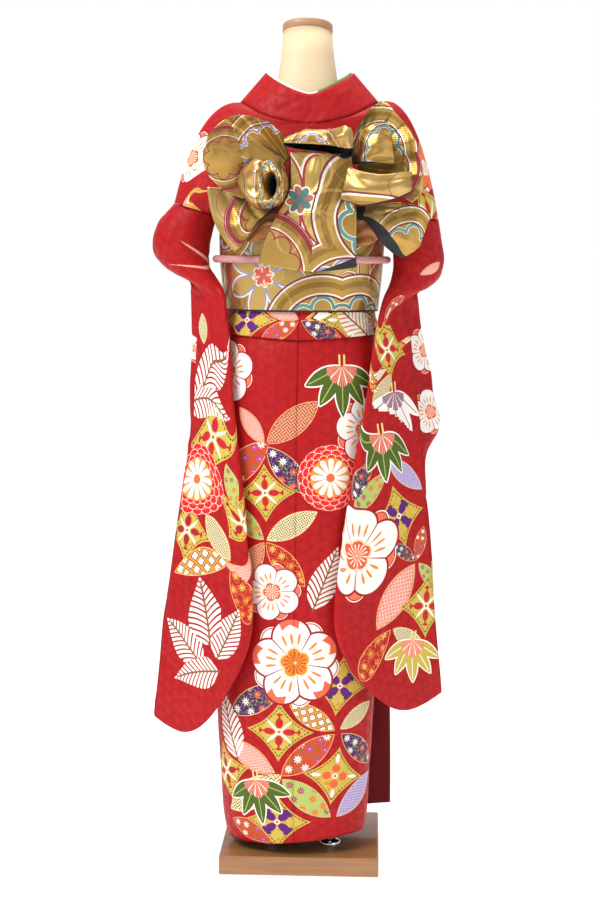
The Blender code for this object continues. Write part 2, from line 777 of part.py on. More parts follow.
def upper_back(side, arm):
    """Rows of the upper body between the obi and the collar."""
    rows = []
    for row in UPPER_BACK_ROWS:
        start = Vector((row.centre_x + side * CENTRE_GAP / 2, row.centre_y, row.centre_z))
        middle_x = row.middle_x if side < 0 else 2 * NECK_CENTRE_X - row.middle_x
        middle = Vector((middle_x, row.middle_y, row.middle_z))
        rows.append(arc_row(start, middle, arm_ring_point(arm, row.arm_angle), BODY_COLUMNS))
    return rows


def shoulder(side, arm):
    """Rows of the upper body that fan from the back of the neck over the shoulder to the front."""
    steps = 2
    edge = neckline(steps)
    middle_row = (len(edge) - 1) // 2
    rows = []
    for i in range((len(NECK_ROWS) - 1) * steps + 1):
        values = edge[middle_row + side * i]
        seam = Vector(values[:3])
        away = (seam - Vector(values[3:])).normalized()
        if i == 0:
            seam.x += side * CENTRE_GAP / 2
        seam += away * COLLAR_GAP
        panel = PanelRow(*catmull_rom(SHOULDER_ROWS, i / steps))
        sink = layer_of(i / steps, side) / 2
        x, z = (panel.left_x, panel.left_z) if side < 0 else (panel.right_x, panel.right_z)
        middle = Vector((x, panel.y - sink, z))
        arm_angle = catmull_rom([(row.arm_angle,) for row in NECK_ROWS], i / steps)[0]
        rows.append(arc_row(seam, middle, arm_ring_point(arm, arm_angle), BODY_COLUMNS))
    return rows


def under_obi_front(side, rise):
    """Rows of the upper body's front under the obi, the right side sunk under the left."""
    under = UNDER_FRONT_SINK if side > 0 else 0.0
    heights = ((UPPER_BODY_RING_TOP, rise), (OBI_MIDDLE, 0.0), (UPPER_BODY_BOTTOM, 0.0))
    rows = []
    for (z, lift), reach in zip(heights, FRONT_REACHES):
        row = []
        for c in range(BODY_COLUMNS + 1):
            t = c / BODY_COLUMNS
            sink = under * min(1.0, (1 - t) * 4)
            row.append(body_ring(z, side * (reach + (FRONT_SIDE_ANGLE - reach) * t), sink, lift * t ** 2))
        rows.append(row)
    return rows


def build_upper_body(silk):
    """Left and right body panels from under the obi over the shoulder to the front."""
    for name, side, arm in (("left", -1, LEFT_ARM[0]), ("right", 1, RIGHT_ARM[0])):
        rise = arm.inner_z + ARMPIT_RISE - UPPER_BODY_RING_TOP
        rows = under_obi_back(side, rise) + upper_back(side, arm) + shoulder(side, arm)
        rows += under_obi_front(side, rise)
        wall("body_upper_" + name, rows, CLOTH, silk, behind=(0, -38, 1200))


def collar_rows(steps, from_share, to_share, inset, cut_off=0):
    """Rows of a band along the neckline, between two shares of the collar's width, sunk inwards."""
    path = [(Vector(row[:3]), Vector(row[3:])) for row in neckline(steps)]
    rows = []
    for i in range(cut_off, len(path) - cut_off):
        low, high = path[i]
        ahead = path[min(i + 1, len(path) - 1)][0]
        behind = path[max(i - 1, 0)][0]
        inward = (high - low).cross(ahead - behind).normalized()
        if inward.dot(Vector((NECK_CENTRE_X, NECK_AXIS_Y, low.z)) - low) < 0:
            inward.negate()
        middle = (from_share + to_share) / 2
        rows.append([low.lerp(high, share) + inward * inset for share in (from_share, middle, to_share)])
    return rows


def build_collar(silk, trim):
    """Folded collar band and the narrow green band inside its upper edge."""
    wall("collar", collar_rows(2, 0.0, 1.0, 0.0), COLLAR_THICK, silk, behind=(0, NECK_AXIS_Y, 1330))
    rows = collar_rows(2, TRIM_LOW, TRIM_HIGH, COLLAR_THICK + TRIM_GAP, TRIM_ENDS)
    wall("collar_trim_band", rows, TRIM_THICK, trim, behind=(0, NECK_AXIS_Y, 1400))


def build_sleeve(name, arm, bag, silk):
    """Sleeve: a gathered tube round the upper arm that opens into a long hanging bag."""
    columns = SLEEVE_COLUMNS
    points = []
    index = []
    for r, row in enumerate(arm):
        lift = -SEAM_GAP if r == 0 else 0.0
        ring = [arm_ring_point(row, 360.0 * c / columns, lift) for c in range(columns)]
        index.append([len(points) + c for c in range(columns)] + [len(points)])
        points += ring
    for r, row in enumerate(bag):
        index.append([len(points) + c for c in range(columns + 1)])
        points += bag_row(row, r / (len(bag) - 1), columns)
    faces = []
    for low, high in zip(index, index[1:]):
        for c in range(columns):
            faces.append((low[c], low[c + 1], high[c + 1], high[c]))
    bottom = index[-1]
    for c in range(columns // 2 - 1):
        faces.append((bottom[c], bottom[c + 1], bottom[columns - c - 1], bottom[columns - c]))
    turn = columns // 2
    faces.append((bottom[turn - 1], bottom[turn], bottom[turn + 1]))
    mesh = mesh_from(name, points, faces)
    shape = bmesh.new()
    shape.from_mesh(mesh)
    bmesh.ops.recalc_face_normals(shape, faces=shape.faces)
    back_faces = [face for face in shape.faces if face.calc_center_median().y < SLEEVE_BACK_Y * MM]
    if sum(face.normal.y * face.calc_area() for face in back_faces) > 0:
        bmesh.ops.reverse_faces(shape, faces=shape.faces)
    shape.to_mesh(mesh)
    shape.free()
    thicken(name, mesh, CLOTH, silk)


def bag_row(row, share, columns):
    """Row of the hanging sleeve: half an oval from its far edge round the closed edge to the near edge."""
    far = Vector((row.far_x, row.far_y, row.outer_z))
    near = Vector((row.near_x, row.near_y, row.outer_z))
    closed = Vector((row.inner_x, row.inner_y, row.inner_z))
    middle = (far + near) / 2
    half_gap = (far - near) / 2
    along = (closed - middle).normalized()
    skew = along * half_gap.dot(along)
    half_gap -= skew
    points = []
    for c in range(columns + 1):
        turn = math.pi * c / columns
        across = math.sin(turn)
        apart = math.copysign(abs(math.cos(turn)) ** CLOSED_EDGE_ROUNDING, math.cos(turn))
        point = middle + (closed - middle) * across + half_gap * apart + skew * math.cos(turn) ** 3
        point.z += row.sag * math.sin(math.pi * across)
        wave = math.sin(math.pi * (2.6 * across + 0.8 * share)) * math.sin(math.pi * across)
        point.y += SLEEVE_WAVE * wave * (1 - share)
        points.append(point)
    return points


def build_sleeves(silk):
    """Both sleeves."""
    build_sleeve("sleeve_left", LEFT_ARM, LEFT_BAG, silk)
    build_sleeve("sleeve_right", RIGHT_ARM, RIGHT_BAG, silk)


def build_obi(brocade):
    """Obi band round the waist."""
    rows = []
    steps = 40
    for row in OBI_RINGS:
        rows.append([ring_point(row, 360.0 * c / steps) for c in range(steps)])
    wall("obi_band", rows, OBI_THICK, brocade, behind=(*GARMENT_AXIS, 1100), closed=True)


def build_knot(reverse):
    """Knot under the bow, a block with rounded edges that every fold starts from."""
    low = (KNOT_LEFT, KNOT_FRONT, KNOT_BOTTOM)
    high = (KNOT_RIGHT, KNOT_BACK, KNOT_TOP)
    block("bow_knot", low, high, KNOT_BEVEL, reverse)


def build_fan(name, root, fan, brocade):
    """Pleated wing of the bow that spreads from the knot."""
    rays = smooth_rows(fan, 2 * len(fan) - 1)
    centre = Vector(root)
    mean = sum(ray.depth for ray in rays) / len(rays)
    rows = []
    for step in range(FAN_STEPS + 1):
        share = step / FAN_STEPS
        row = []
        for ray in rays:
            radius = FAN_ROOT_RADIUS + (ray.reach - FAN_ROOT_RADIUS) * share
            turn = math.radians(ray.angle)
            depth = (mean - centre.y) * share + (ray.depth - mean) * share ** PLEAT_GROWTH
            row.append(centre + Vector((radius * math.cos(turn), depth, radius * math.sin(turn))))
        rows.append(row)
    wall(name, rows, BOW_THICK, brocade, behind=(centre.x, 2000, centre.z))


def build_flap(name, table, count, columns, brocade, behind, dip=0.0):
    """Folded piece of the bow; `dip` lowers the middle of the last row."""
    rows = []
    for i, row in enumerate(smooth_rows(table, count)):
        a = Vector((row.a_x, row.a_y, row.a_z))
        b = Vector((row.b_x, row.b_y, row.b_z))
        points = []
        for c in range(columns + 1):
            part = c / columns
            point = a.lerp(b, part)
            point.y -= row.bulge * math.sin(math.pi * part) ** 2
            point.z -= dip * math.sin(math.pi * part) * max(0.0, 2 * i / (count - 1) - 1)
            points.append(point)
        rows.append(points)
    wall(name, rows, BOW_THICK, brocade, behind=behind)


def build_top_loop(brocade):
    """Twisted loop on top of the knot, a hollow tube."""
    steps = 10
    rows = []
    for row in smooth_rows(TOP_LOOP, 11):
        rows.append([
            (row.x, row.y + row.half_depth * math.cos(2 * math.pi * i / steps),
             row.z + row.half_height * math.sin(2 * math.pi * i / steps))
            for i in range(steps)
        ])
    wall("bow_top_loop", rows, BOW_THICK, brocade, behind=(30, -210, 1313), closed=True)


def build_rosette(brocade):
    """Loop with a dark hole that faces the viewer."""
    rows = []
    for ring in ROSETTE_ROWS:
        row = []
        for i in range(ROSETTE_SPOKES):
            turn = 2 * math.pi * i / ROSETTE_SPOKES
            outer = Vector((
                ROSETTE_CENTRE[0] + ROSETTE_HALF[0] * math.cos(turn), ring.depth,
                ROSETTE_CENTRE[1] + ROSETTE_HALF[1] * math.sin(turn)))
            inner = Vector((
                ROSETTE_HOLE_CENTRE[0] + ROSETTE_HOLE_HALF[0] * math.cos(turn), ring.depth,
                ROSETTE_HOLE_CENTRE[1] + ROSETTE_HOLE_HALF[1] * math.sin(turn)))
            row.append(inner.lerp(outer, ring.share))
        rows.append(row)
    wall("bow_rosette_left", rows, BOW_THICK, brocade, behind=(-50, -150, 1240), closed=True)


def build_bow(brocade, reverse):
    """All pieces of the tied bow."""
    viewer_far = (0, 2000, 1200)
    build_knot(reverse)
    build_fan("bow_wing_upper_left", LEFT_FAN_ROOT, LEFT_FAN, brocade)
    build_fan("bow_wing_upper_right", RIGHT_FAN_ROOT, RIGHT_FAN, brocade)
    build_flap("bow_centre_panel", CENTRE_PANEL, 9, 8, brocade, viewer_far, CENTRE_PANEL_DIP)
    build_flap("bow_wing_lower_left", LEFT_LOWER_WING, 9, 6, brocade, viewer_far)
    build_flap("bow_wing_lower_right", RIGHT_LOWER_WING, 9, 6, brocade, viewer_far)
    build_flap("bow_middle_fold_right", RIGHT_MIDDLE_FOLD, 7, 6, brocade, viewer_far)
    build_flap("bow_loop_right", RIGHT_BIG_LOOP, 15, 5, brocade, (140, -208, 1240))
    build_flap("bow_tuck_left", LEFT_TUCK, 5, 3, brocade, viewer_far)
    build_flap("bow_tuck_right", RIGHT_TUCK, 5, 3, brocade, viewer_far)
    build_top_loop(brocade)
    build_rosette(brocade)


def build_cord(braid):
    """Cord tied round the obi, and its flat knot at the front."""
    curve = bpy.data.curves.new("obijime", "CURVE")
    curve.dimensions = "3D"
    curve.bevel_depth = CORD_RADIUS * MM
    curve.bevel_resolution = 2
    spline = curve.splines.new("POLY")
    spline.points.add(CORD_POINTS - 1)
    ring = row_at_height(OBI_RINGS, CORD_Z)
    for i in range(CORD_POINTS):
        point = ring_point(ring, 360.0 * (i + 0.5) / CORD_POINTS, -(CORD_RADIUS + GAP), CORD_Z) * MM
        spline.points[i].co = (*point, 1.0)
    spline.use_cyclic_u = True
    curve.materials.append(braid)
    item = bpy.data.objects.new("obijime", curve)
    bpy.context.scene.collection.objects.link(item)
    front = ring_point(ring, 180.0, -(2 * CORD_RADIUS + GAP), CORD_Z)
    rows = []
    steps = 16
    for share, size in ((0.0, 0.72), (0.25, 1.0), (0.7, 1.0), (1.0, 0.62)):
        depth = front.y + REST_GAP + CORD_KNOT_DEPTH * share
        rows.append([
            (front.x + CORD_KNOT_HALF_WIDTH * size * math.cos(2 * math.pi * i / steps), depth,
             front.z + CORD_KNOT_HALF_HEIGHT * size * math.sin(2 * math.pi * i / steps))
            for i in range(steps)
        ])
    solid("obijime_knot", rows, braid)


def main():
    """Build every piece."""
    for item in list(bpy.data.objects):
        bpy.data.objects.remove(item)
    silk = material("red damask silk", (0.62, 0.02, 0.03), 0.55)
    trim = material("green silk trim", (0.10, 0.42, 0.16), 0.55)
    brocade = material("gold brocade", (0.56, 0.40, 0.12), 0.38, 0.4)
    reverse = material("black brocade reverse", (0.01, 0.01, 0.012), 0.6)
    braid = material("pink braided silk", (0.78, 0.32, 0.32), 0.6)
    cream = material("cream form cover", (0.95, 0.80, 0.52), 0.5)
    beech = material("oiled beech", (0.66, 0.42, 0.21), 0.4)
    chrome = material("chromed steel", (0.8, 0.8, 0.8), 0.12, 1.0)
    build_stand(beech, chrome, chrome)
    build_form(cream, beech)
    build_skirt(silk)
    build_waist_fold(silk)
    build_upper_body(silk)
    build_collar(silk, trim)
    build_sleeves(silk)
    build_obi(brocade)
    build_bow(brocade, reverse)
    build_cord(braid)


main()
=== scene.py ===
"""Furisode with a tied obi on a limbless kimono form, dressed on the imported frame.

World axes: X to the viewer's right, Y away from the viewer, Z up, in metres. The viewer stands at -Y and
sees the back of the garment. Tables of the garment are in millimetres, and places that follow the
photograph are pixels of its 600 x 900 frame, cast from the camera onto the cloth.
"""

from collections import namedtuple
from math import copysign, cos, degrees, pi, radians, sin

import bmesh
import bpy
import numpy as np
from mathutils import Matrix, Vector
from mathutils.bvhtree import BVHTree
from mathutils.interpolate import poly_3d_calc


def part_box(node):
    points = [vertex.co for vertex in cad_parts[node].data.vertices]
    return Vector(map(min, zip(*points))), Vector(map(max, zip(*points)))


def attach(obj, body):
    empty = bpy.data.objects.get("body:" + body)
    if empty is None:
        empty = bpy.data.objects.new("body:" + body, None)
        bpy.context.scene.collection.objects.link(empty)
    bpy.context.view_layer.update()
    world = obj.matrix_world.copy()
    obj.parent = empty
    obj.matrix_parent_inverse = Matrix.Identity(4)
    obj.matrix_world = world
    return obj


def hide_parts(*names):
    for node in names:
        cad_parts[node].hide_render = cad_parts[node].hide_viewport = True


bl_info = {
    "name": "Furisode on a kimono form",
    "version": (1, 0, 0),
    "blender": (4, 5, 0),
    "location": "View3D > Sidebar > Furisode",
    "description": "Builds the silk, brocade, braid, form and stand of a dressed furisode",
    "category": "Object",
}

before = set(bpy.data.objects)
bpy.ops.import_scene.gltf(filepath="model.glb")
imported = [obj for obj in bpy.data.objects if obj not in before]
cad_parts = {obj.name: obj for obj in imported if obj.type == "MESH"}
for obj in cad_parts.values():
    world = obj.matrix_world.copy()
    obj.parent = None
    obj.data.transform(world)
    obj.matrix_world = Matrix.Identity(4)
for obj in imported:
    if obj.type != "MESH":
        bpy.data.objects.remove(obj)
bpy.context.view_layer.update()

MM = 0.001

# Camera: pinhole that the photograph was matched with
IMAGE_WIDTH = 600
IMAGE_HEIGHT = 900
CAMERA_DISTANCE = 3.5
CAMERA_HEIGHT = 1.13
CAMERA_PITCH = 6.0
CAMERA_AZIMUTH = 2.1
CAMERA_YAW_PIXELS = 4.3
CAMERA_ROLL = 0.4
FOCAL_PIXELS = 1904.0
SENSOR_MM = 36.0

# Soft lights: place, width in metres and power in watts, and the place that they face
LIGHTS = (
    ("key", (-1.9, -2.1, 3.3), 1.5, 95.0),
    ("fill", (2.4, -2.4, 1.6), 2.0, 16.0),
    ("top", (0.2, 0.2, 3.2), 1.5, 36.0),
)
LIT_PLACE = (0, 0, 0.9)

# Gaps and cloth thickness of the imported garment
GAP = 0.5
LAYER_GAP = 1.4
SEAM_GAP = 0.8
CENTRE_GAP = 1.0
COLLAR_GAP = 1.0
COLLAR_THICK = 3.0
FOLD_THICK = 3.0
OBI_THICK = 4.0
UNDER_LAYER = 4.0
FRONT_LAYER = 10.0
CORD_RADIUS = 6.5
CORD_Z = 1113.0
KNOT_CORD_RADIUS = 4.6
CORD_SIDES = 12
CORD_STEPS = 160
KNOT_STEPS = 60

# Distance between the points of the fine meshes
SKIRT_STEP = 5.0
SKIRT_ROW_COUNT = 200
WAIST_STEP = 4.0
BODY_STEP = 5.0
COLLAR_STEP = 4.0
TRIM_STEP = 3.0
SLEEVE_STEP = 5.0
OBI_STEP = 3.5
CORD_STEP = 2.5
KNOT_STEP = 1.6
BOW_STEP = 2.6

# Walls of the pieces that aren't plain silk
WAIST_WALL = 2.4
TRIM_WALL = 1.2
OBI_WALL = 3.0
BOW_WALL = 1.6

# Heights of the belt and of the waist fold
WAIST_FOLD_TOP = 1043.0
WAIST_FOLD_BOTTOM = 972.0
WAIST_FOLD_SIDE_RISE = 9.0
UPPER_BODY_BOTTOM = 1045.5
UPPER_BODY_RING_TOP = 1181.0
OBI_MIDDLE = 1112.0
ARMPIT_RISE = 4.0
BACK_SIDE_ANGLE = 91.5
FRONT_SIDE_ANGLE = 92.2
FRONT_REACHES = (194.0, 200.0, 206.0)
UNDER_FRONT_SINK = 4.4
BODY_COLUMNS = 8
OBI_COLUMNS = 40
WAIST_COLUMNS = 16
OVERLAP_COLUMNS = 8
COLLAR_COLUMNS = 12
NECK_STEPS = 2

# Skirt
HEM_Z = 61.0
HEM_SLOPE = 0.08
SIDE_SEAM_ANGLE = 100.0
OVERLAP_SEAM_ANGLE = 190.0
OUTER_EDGE_ANGLE = 245.0
UNDER_EDGE_ANGLE = 236.0
FREE_EDGE_X = 168.0
FREE_EDGE_Y = 80.0
SQUARENESS = 0.93
GARMENT_AXIS = (-8.0, -38.0)
SKIRT_RADIUS = 115.0
SKIRT_FOLD_DEPTH = 1.6
SKIRT_FOLD_FADE = 1.15
SINK_SPAN = 30.0
OVERLAP_HUG_SHARE = 0.86
OVERLAP_BELLY = 5.0
# How deep the long edges of a panel sink into its seams
SEAM_DIP = 0.8
# Run of cloth from the centre back at which the motifs of the hidden side start as a mirrored copy
SKIRT_MIRROR = 240.0
WAIST_MIRROR = 200.0

RingRow = namedtuple("RingRow", "z half_width half_depth centre_x centre_y")
SKIRT_RINGS = [RingRow(*row) for row in (
    (50, 127, 103, -8, -36),
    (95, 134, 107, -9, -36),
    (150, 137, 110, -10, -37),
    (280, 144, 115, -10, -38),
    (450, 150, 121, -9, -38),
    (650, 157, 126, -8, -38),
    (850, 158, 126, -7, -38),
    (950, 147, 118, -6, -38),
    (1000, 131, 104.5, -6, -38),
    (1021, 128.5, 102, -5.5, -38),
    (1043, 130.5, 103.5, -5.5, -38),
)]
OBI_RINGS = [RingRow(*row) for row in (
    (1021, 138.5, 112, -5.5, -38),
    (1045, 141, 114, -5.5, -38),
    (1110, 147.5, 117.5, -6, -38),
    (1178, 150, 118.5, -5, -38),
)]

# Section of the waist fold from its lower edge up: share of the height, and swell
WAIST_FOLD_LIFT = 1.2
WAIST_FOLD_SECTION = ((0.0, 1.2), (0.12, 3.2), (0.45, 2.6), (0.72, 0.8), (1.0, 0.0))

# Upright folds of the skirt as waves round it: count, phase and share
SKIRT_WAVES = ((5, 40, 1.0), (9, 110, 0.6))

NeckRow = namedtuple("NeckRow", "x y z top_x top_y top_z arm_angle")
NECK_CENTRE_X = 6.0
NECK_AXIS_Y = -20.0
FRONT_STARTS = 4
TRIM_LOW = 0.72
TRIM_HIGH = 1.07
TRIM_GREEN_FROM = 22.0
TRIM_GAP = 0.7
TRIM_ENDS = 8
NECK_ROWS = [NeckRow(*row) for row in (
    (8, -106, 1352, 9, -93, 1404, -60),
    (-66, -97, 1365, -37, -85, 1420, -38),
    (-108, -62, 1388, -64, -54, 1438, -20),
    (-119, -18, 1393, -74, -14, 1446, 0),
    (-104, 26, 1370, -60, 27, 1422, 20),
    (-72, 58, 1325, -28, 55, 1363, 45),
    (-40, 79, 1280, 5, 77, 1312, 75),
    (-9, 91, 1236, 36, 90, 1262, 105),
    (20, 92, 1200, 60, 90, 1219, 140),
)]

PanelRow = namedtuple("PanelRow", "left_x left_z right_x right_z y")
SHOULDER_ROWS = [PanelRow(*row) for row in (
    (-126, 1305, 136, 1305, -101),
    (-154, 1329, 162, 1331, -84),
    (-178, 1349, 184, 1353, -58),
    (-186, 1347, 192, 1353, -34),
    (-178, 1336, 184, 1342, -8),
    (-158, 1312, 166, 1314, 18),
    (-136, 1278, 144, 1280, 42),
    (-110, 1240, 118, 1240, 62),
    (-86, 1208, 92, 1208, 78),
)]

BackRow = namedtuple("BackRow", "centre_x centre_y centre_z middle_x middle_y middle_z arm_angle")
UPPER_BACK_ROWS = [BackRow(*row) for row in (
    (-3, -141, 1212, -96, -126, 1205, -140),
    (0, -127, 1258, -110, -119, 1240, -112),
    (4, -115, 1306, -122, -110, 1276, -85),
)]

ArmRow = namedtuple("ArmRow", "outer_x outer_z inner_x inner_z centre_y half_depth")
LEFT_ARM = [ArmRow(*row) for row in (
    (-236, 1213, -160, 1190, -42, 58),
    (-262, 1180, -166, 1166, -44, 62),
    (-274, 1142, -171, 1140, -48, 60),
    (-262, 1108, -171, 1114, -56, 48),
    (-234, 1088, -169, 1098, -70, 34),
    (-206, 1074, -158, 1082, -86, 22),
)]
RIGHT_ARM = [ArmRow(*row) for row in (
    (240, 1186, 152, 1190, -42, 58),
    (246, 1150, 157, 1156, -44, 60),
    (252, 1112, 159, 1124, -48, 56),
    (244, 1082, 159, 1102, -58, 42),
    (222, 1064, 157, 1088, -72, 30),
    (204, 1056, 154, 1074, -86, 22),
)]

BagRow = namedtuple("BagRow", "outer_z far_x far_y near_x near_y inner_z inner_x inner_y sag")
LEFT_BAG = [BagRow(*row) for row in (
    (1050, -205, -56, -180, -98, 1056, -143, -112, 0),
    (1005, -205, -44, -188, -88, 1010, -134, -124, 0),
    (950, -206, -34, -193, -80, 954, -128, -136, 0),
    (860, -208, -32, -196, -76, 865, -121, -152, 0),
    (785, -209, -32, -201, -74, 792, -113, -160, 0),
    (712, -219, -32, -214, -74, 722, -105, -164, 0),
    (638, -230, -32, -223, -74, 650, -95.5, -167, 0),
    (563, -241, -32, -236, -74, 578, -88, -168, 0),
    (490, -251, -33, -247, -74, 506, -82.5, -168, 0),
    (430, -259, -34, -254, -74, 456, -83.5, -167, -8),
    (372, -264, -36, -259, -73, 415, -92, -165, -20),
    (321, -269, -40, -264, -71, 382, -104, -160, -36),
    (272, -274, -46, -270, -66, 354, -118, -150, -55),
)]
RIGHT_BAG = [BagRow(*row) for row in (
    (1036, 206, -56, 179, -98, 1048, 145, -112, 0),
    (970, 215, -40, 193, -86, 974, 128, -132, 0),
    (917, 228, -30, 198, -80, 921, 121, -144, 0),
    (863, 236, -26, 206, -78, 868, 113, -153, 0),
    (809, 246, -24, 212, -77, 815, 105, -160, 0),
    (764, 225, -30, 216, -76, 772, 99, -164, 0),
    (700, 224, -32, 221, -75, 708, 89, -167, 0),
    (628, 231, -32, 229, -75, 638, 79, -170, 0),
    (560, 237, -32, 235, -75, 572, 70, -172, 0),
    (500, 242, -33, 241, -75, 516, 63.5, -172, -2),
    (445, 247, -34, 246, -74, 470, 62, -171, -8),
    (400, 251, -36, 250, -73, 432, 70, -168, -18),
    (362, 255, -40, 254, -71, 398, 85, -163, -31),
    (326, 258, -46, 257, -66, 371, 101, -154, -46),
)]
SLEEVE_COLUMNS = 16
CLOSED_EDGE_ROUNDING = 0.5
SLEEVE_WAVE = 3.0
SLEEVE_BACK_Y = -0.110

# Pleated wings of the bow: ray angle (0 to +X, 90 up), reach of the ray and depth of its end
FanRow = namedtuple("FanRow", "angle reach depth")
LEFT_FAN_ROOT = (-20.2, -171.0, 1277.0)
LEFT_FAN = [FanRow(*row) for row in (
    (104, 48, -186), (116, 74, -212), (127, 97, -190), (136, 118, -216), (147, 137, -192),
    (160, 148, -202), (172, 150, -214), (184, 147, -204), (199, 128, -190), (216, 101, -186),
)]
RIGHT_FAN_ROOT = (85.3, -163.0, 1275.0)
RIGHT_FAN = [FanRow(*row) for row in (
    (89, 46, -180), (77, 80, -194), (66, 121, -184), (53, 117, -200), (40, 116, -184),
    (22, 117, -198), (5, 118, -184), (-8, 125, -196), (-20, 130, -184), (-31, 122, -190),
)]
FAN_ROOT_RADIUS = 10.0
FAN_STEPS = 5
PLEAT_GROWTH = 1.25

# Folded pieces of the bow: the two edges of each row and the swell of its middle
FlapRow = namedtuple("FlapRow", "a_x a_y a_z b_x b_y b_z bulge")
CENTRE_PANEL = [FlapRow(*row) for row in (
    (-20, -203.2, 1297, 83, -203.2, 1294, 0),
    (-20.5, -205, 1234, 92, -206, 1240, 6),
    (-42, -207, 1190, 94, -208, 1194, 12),
    (-62, -202, 1150, 94.5, -204, 1150, 10),
    (-75, -196, 1107, 95, -198, 1101, 6),
)]
CENTRE_PANEL_DIP = 11.0
LEFT_LOWER_WING = [FlapRow(*row) for row in (
    (-166, -177, 1238, -22.7, -172, 1224, 0),
    (-159, -178, 1196, -40, -176, 1206, 3),
    (-146, -180, 1163, -76, -180, 1176, 7),
    (-128, -180, 1138, -98, -180, 1147, 4),
    (-117, -179, 1127, -110, -179, 1130, 1),
)]
RIGHT_LOWER_WING = [FlapRow(*row) for row in (
    (84.6, -170, 1204, 84.6, -170, 1186, 0),
    (122, -178, 1207, 112, -176, 1178, 4),
    (162, -184, 1213, 140, -182, 1141, 9),
    (206, -182, 1205, 176, -180, 1118, 7),
    (223, -176, 1190, 204, -176, 1140, 3),
)]
RIGHT_MIDDLE_FOLD = [FlapRow(*row) for row in (
    (84.6, -178, 1292, 84.6, -178, 1276, 0),
    (97, -204, 1331, 104, -206, 1279, 3),
    (126, -211, 1345, 132, -210, 1278, 9),
    (150, -207, 1345, 158, -206, 1277, 4),
)]
RIGHT_BIG_LOOP = [FlapRow(*row) for row in (
    (80, -222, 1272, 66, -224, 1217, 3),
    (104, -229, 1263, 100, -230, 1205, 8),
    (143, -228, 1259, 132, -229, 1209, 9),
    (178, -219, 1264, 168, -220, 1220, 5),
    (190, -209, 1262, 186, -209, 1231, 0),
    (176, -200, 1258, 172, -200, 1228, -2),
    (130, -196, 1262, 130, -196, 1220, -1),
    (84.6, -192, 1264, 84.6, -192, 1216, 0),
)]
LEFT_TUCK = [FlapRow(*row) for row in (
    (-22.7, -163, 1190, -22.7, -163, 1152, 0),
    (-56, -164, 1194, -58, -164, 1146, 2),
    (-76, -164, 1182, -78, -164, 1143, 2),
    (-100, -162, 1154, -99, -162, 1144, 0),
)]
RIGHT_TUCK = [FlapRow(*row) for row in (
    (84.6, -161.5, 1180, 84.6, -161.5, 1152, 0),
    (104, -164, 1183, 101, -164, 1135, 2),
    (121, -164, 1184, 119, -164, 1141, 2),
    (133, -162, 1163, 131, -162, 1149, 0),
)]

# Table of each folded piece of the bow, rows and columns of its smooth form, and the dip of its last row
BOW_FLAPS = {
    "bow_centre_panel": (CENTRE_PANEL, 9, 8, CENTRE_PANEL_DIP),
    "bow_wing_lower_left": (LEFT_LOWER_WING, 9, 6),
    "bow_wing_lower_right": (RIGHT_LOWER_WING, 9, 6),
    "bow_middle_fold_right": (RIGHT_MIDDLE_FOLD, 7, 6),
    "bow_loop_right": (RIGHT_BIG_LOOP, 15, 5),
    "bow_tuck_left": (LEFT_TUCK, 5, 3),
    "bow_tuck_right": (RIGHT_TUCK, 5, 3),
}

LoopRow = namedtuple("LoopRow", "x z half_height y half_depth")
TOP_LOOP = [LoopRow(*row) for row in (
    (-31, 1313, 5, -214, 6),
    (-19, 1315, 11, -208, 14),
    (12, 1316.6, 18, -201, 21),
    (40, 1315.8, 20, -198, 23),
    (62, 1313, 25, -215, 22),
    (76, 1312, 29, -225, 18),
    (88, 1309, 19, -226, 9),
)]
TOP_LOOP_RINGS = 11
TOP_LOOP_STEPS = 10
TOP_LOOP_START = 258
TOP_LOOP_TURN = 304

# Rosette loop: share of the way from the dark hole's edge to the outline, and depth
ROSETTE_CENTRE = (-64.5, 1243.0)
ROSETTE_HALF = (42.0, 43.0)
ROSETTE_HOLE_CENTRE = (-50.0, 1239.0)
ROSETTE_HOLE_HALF = (9.0, 20.0)
ROSETTE_ROWS = (
    (1.0, -197), (0.97, -214), (0.78, -232), (0.45, -241),
    (0.15, -240), (0.0, -230), (-0.1, -214), (-0.27, -204),
)
ROSETTE_SPOKES = 24
ROSETTE_TWIST = 6.0

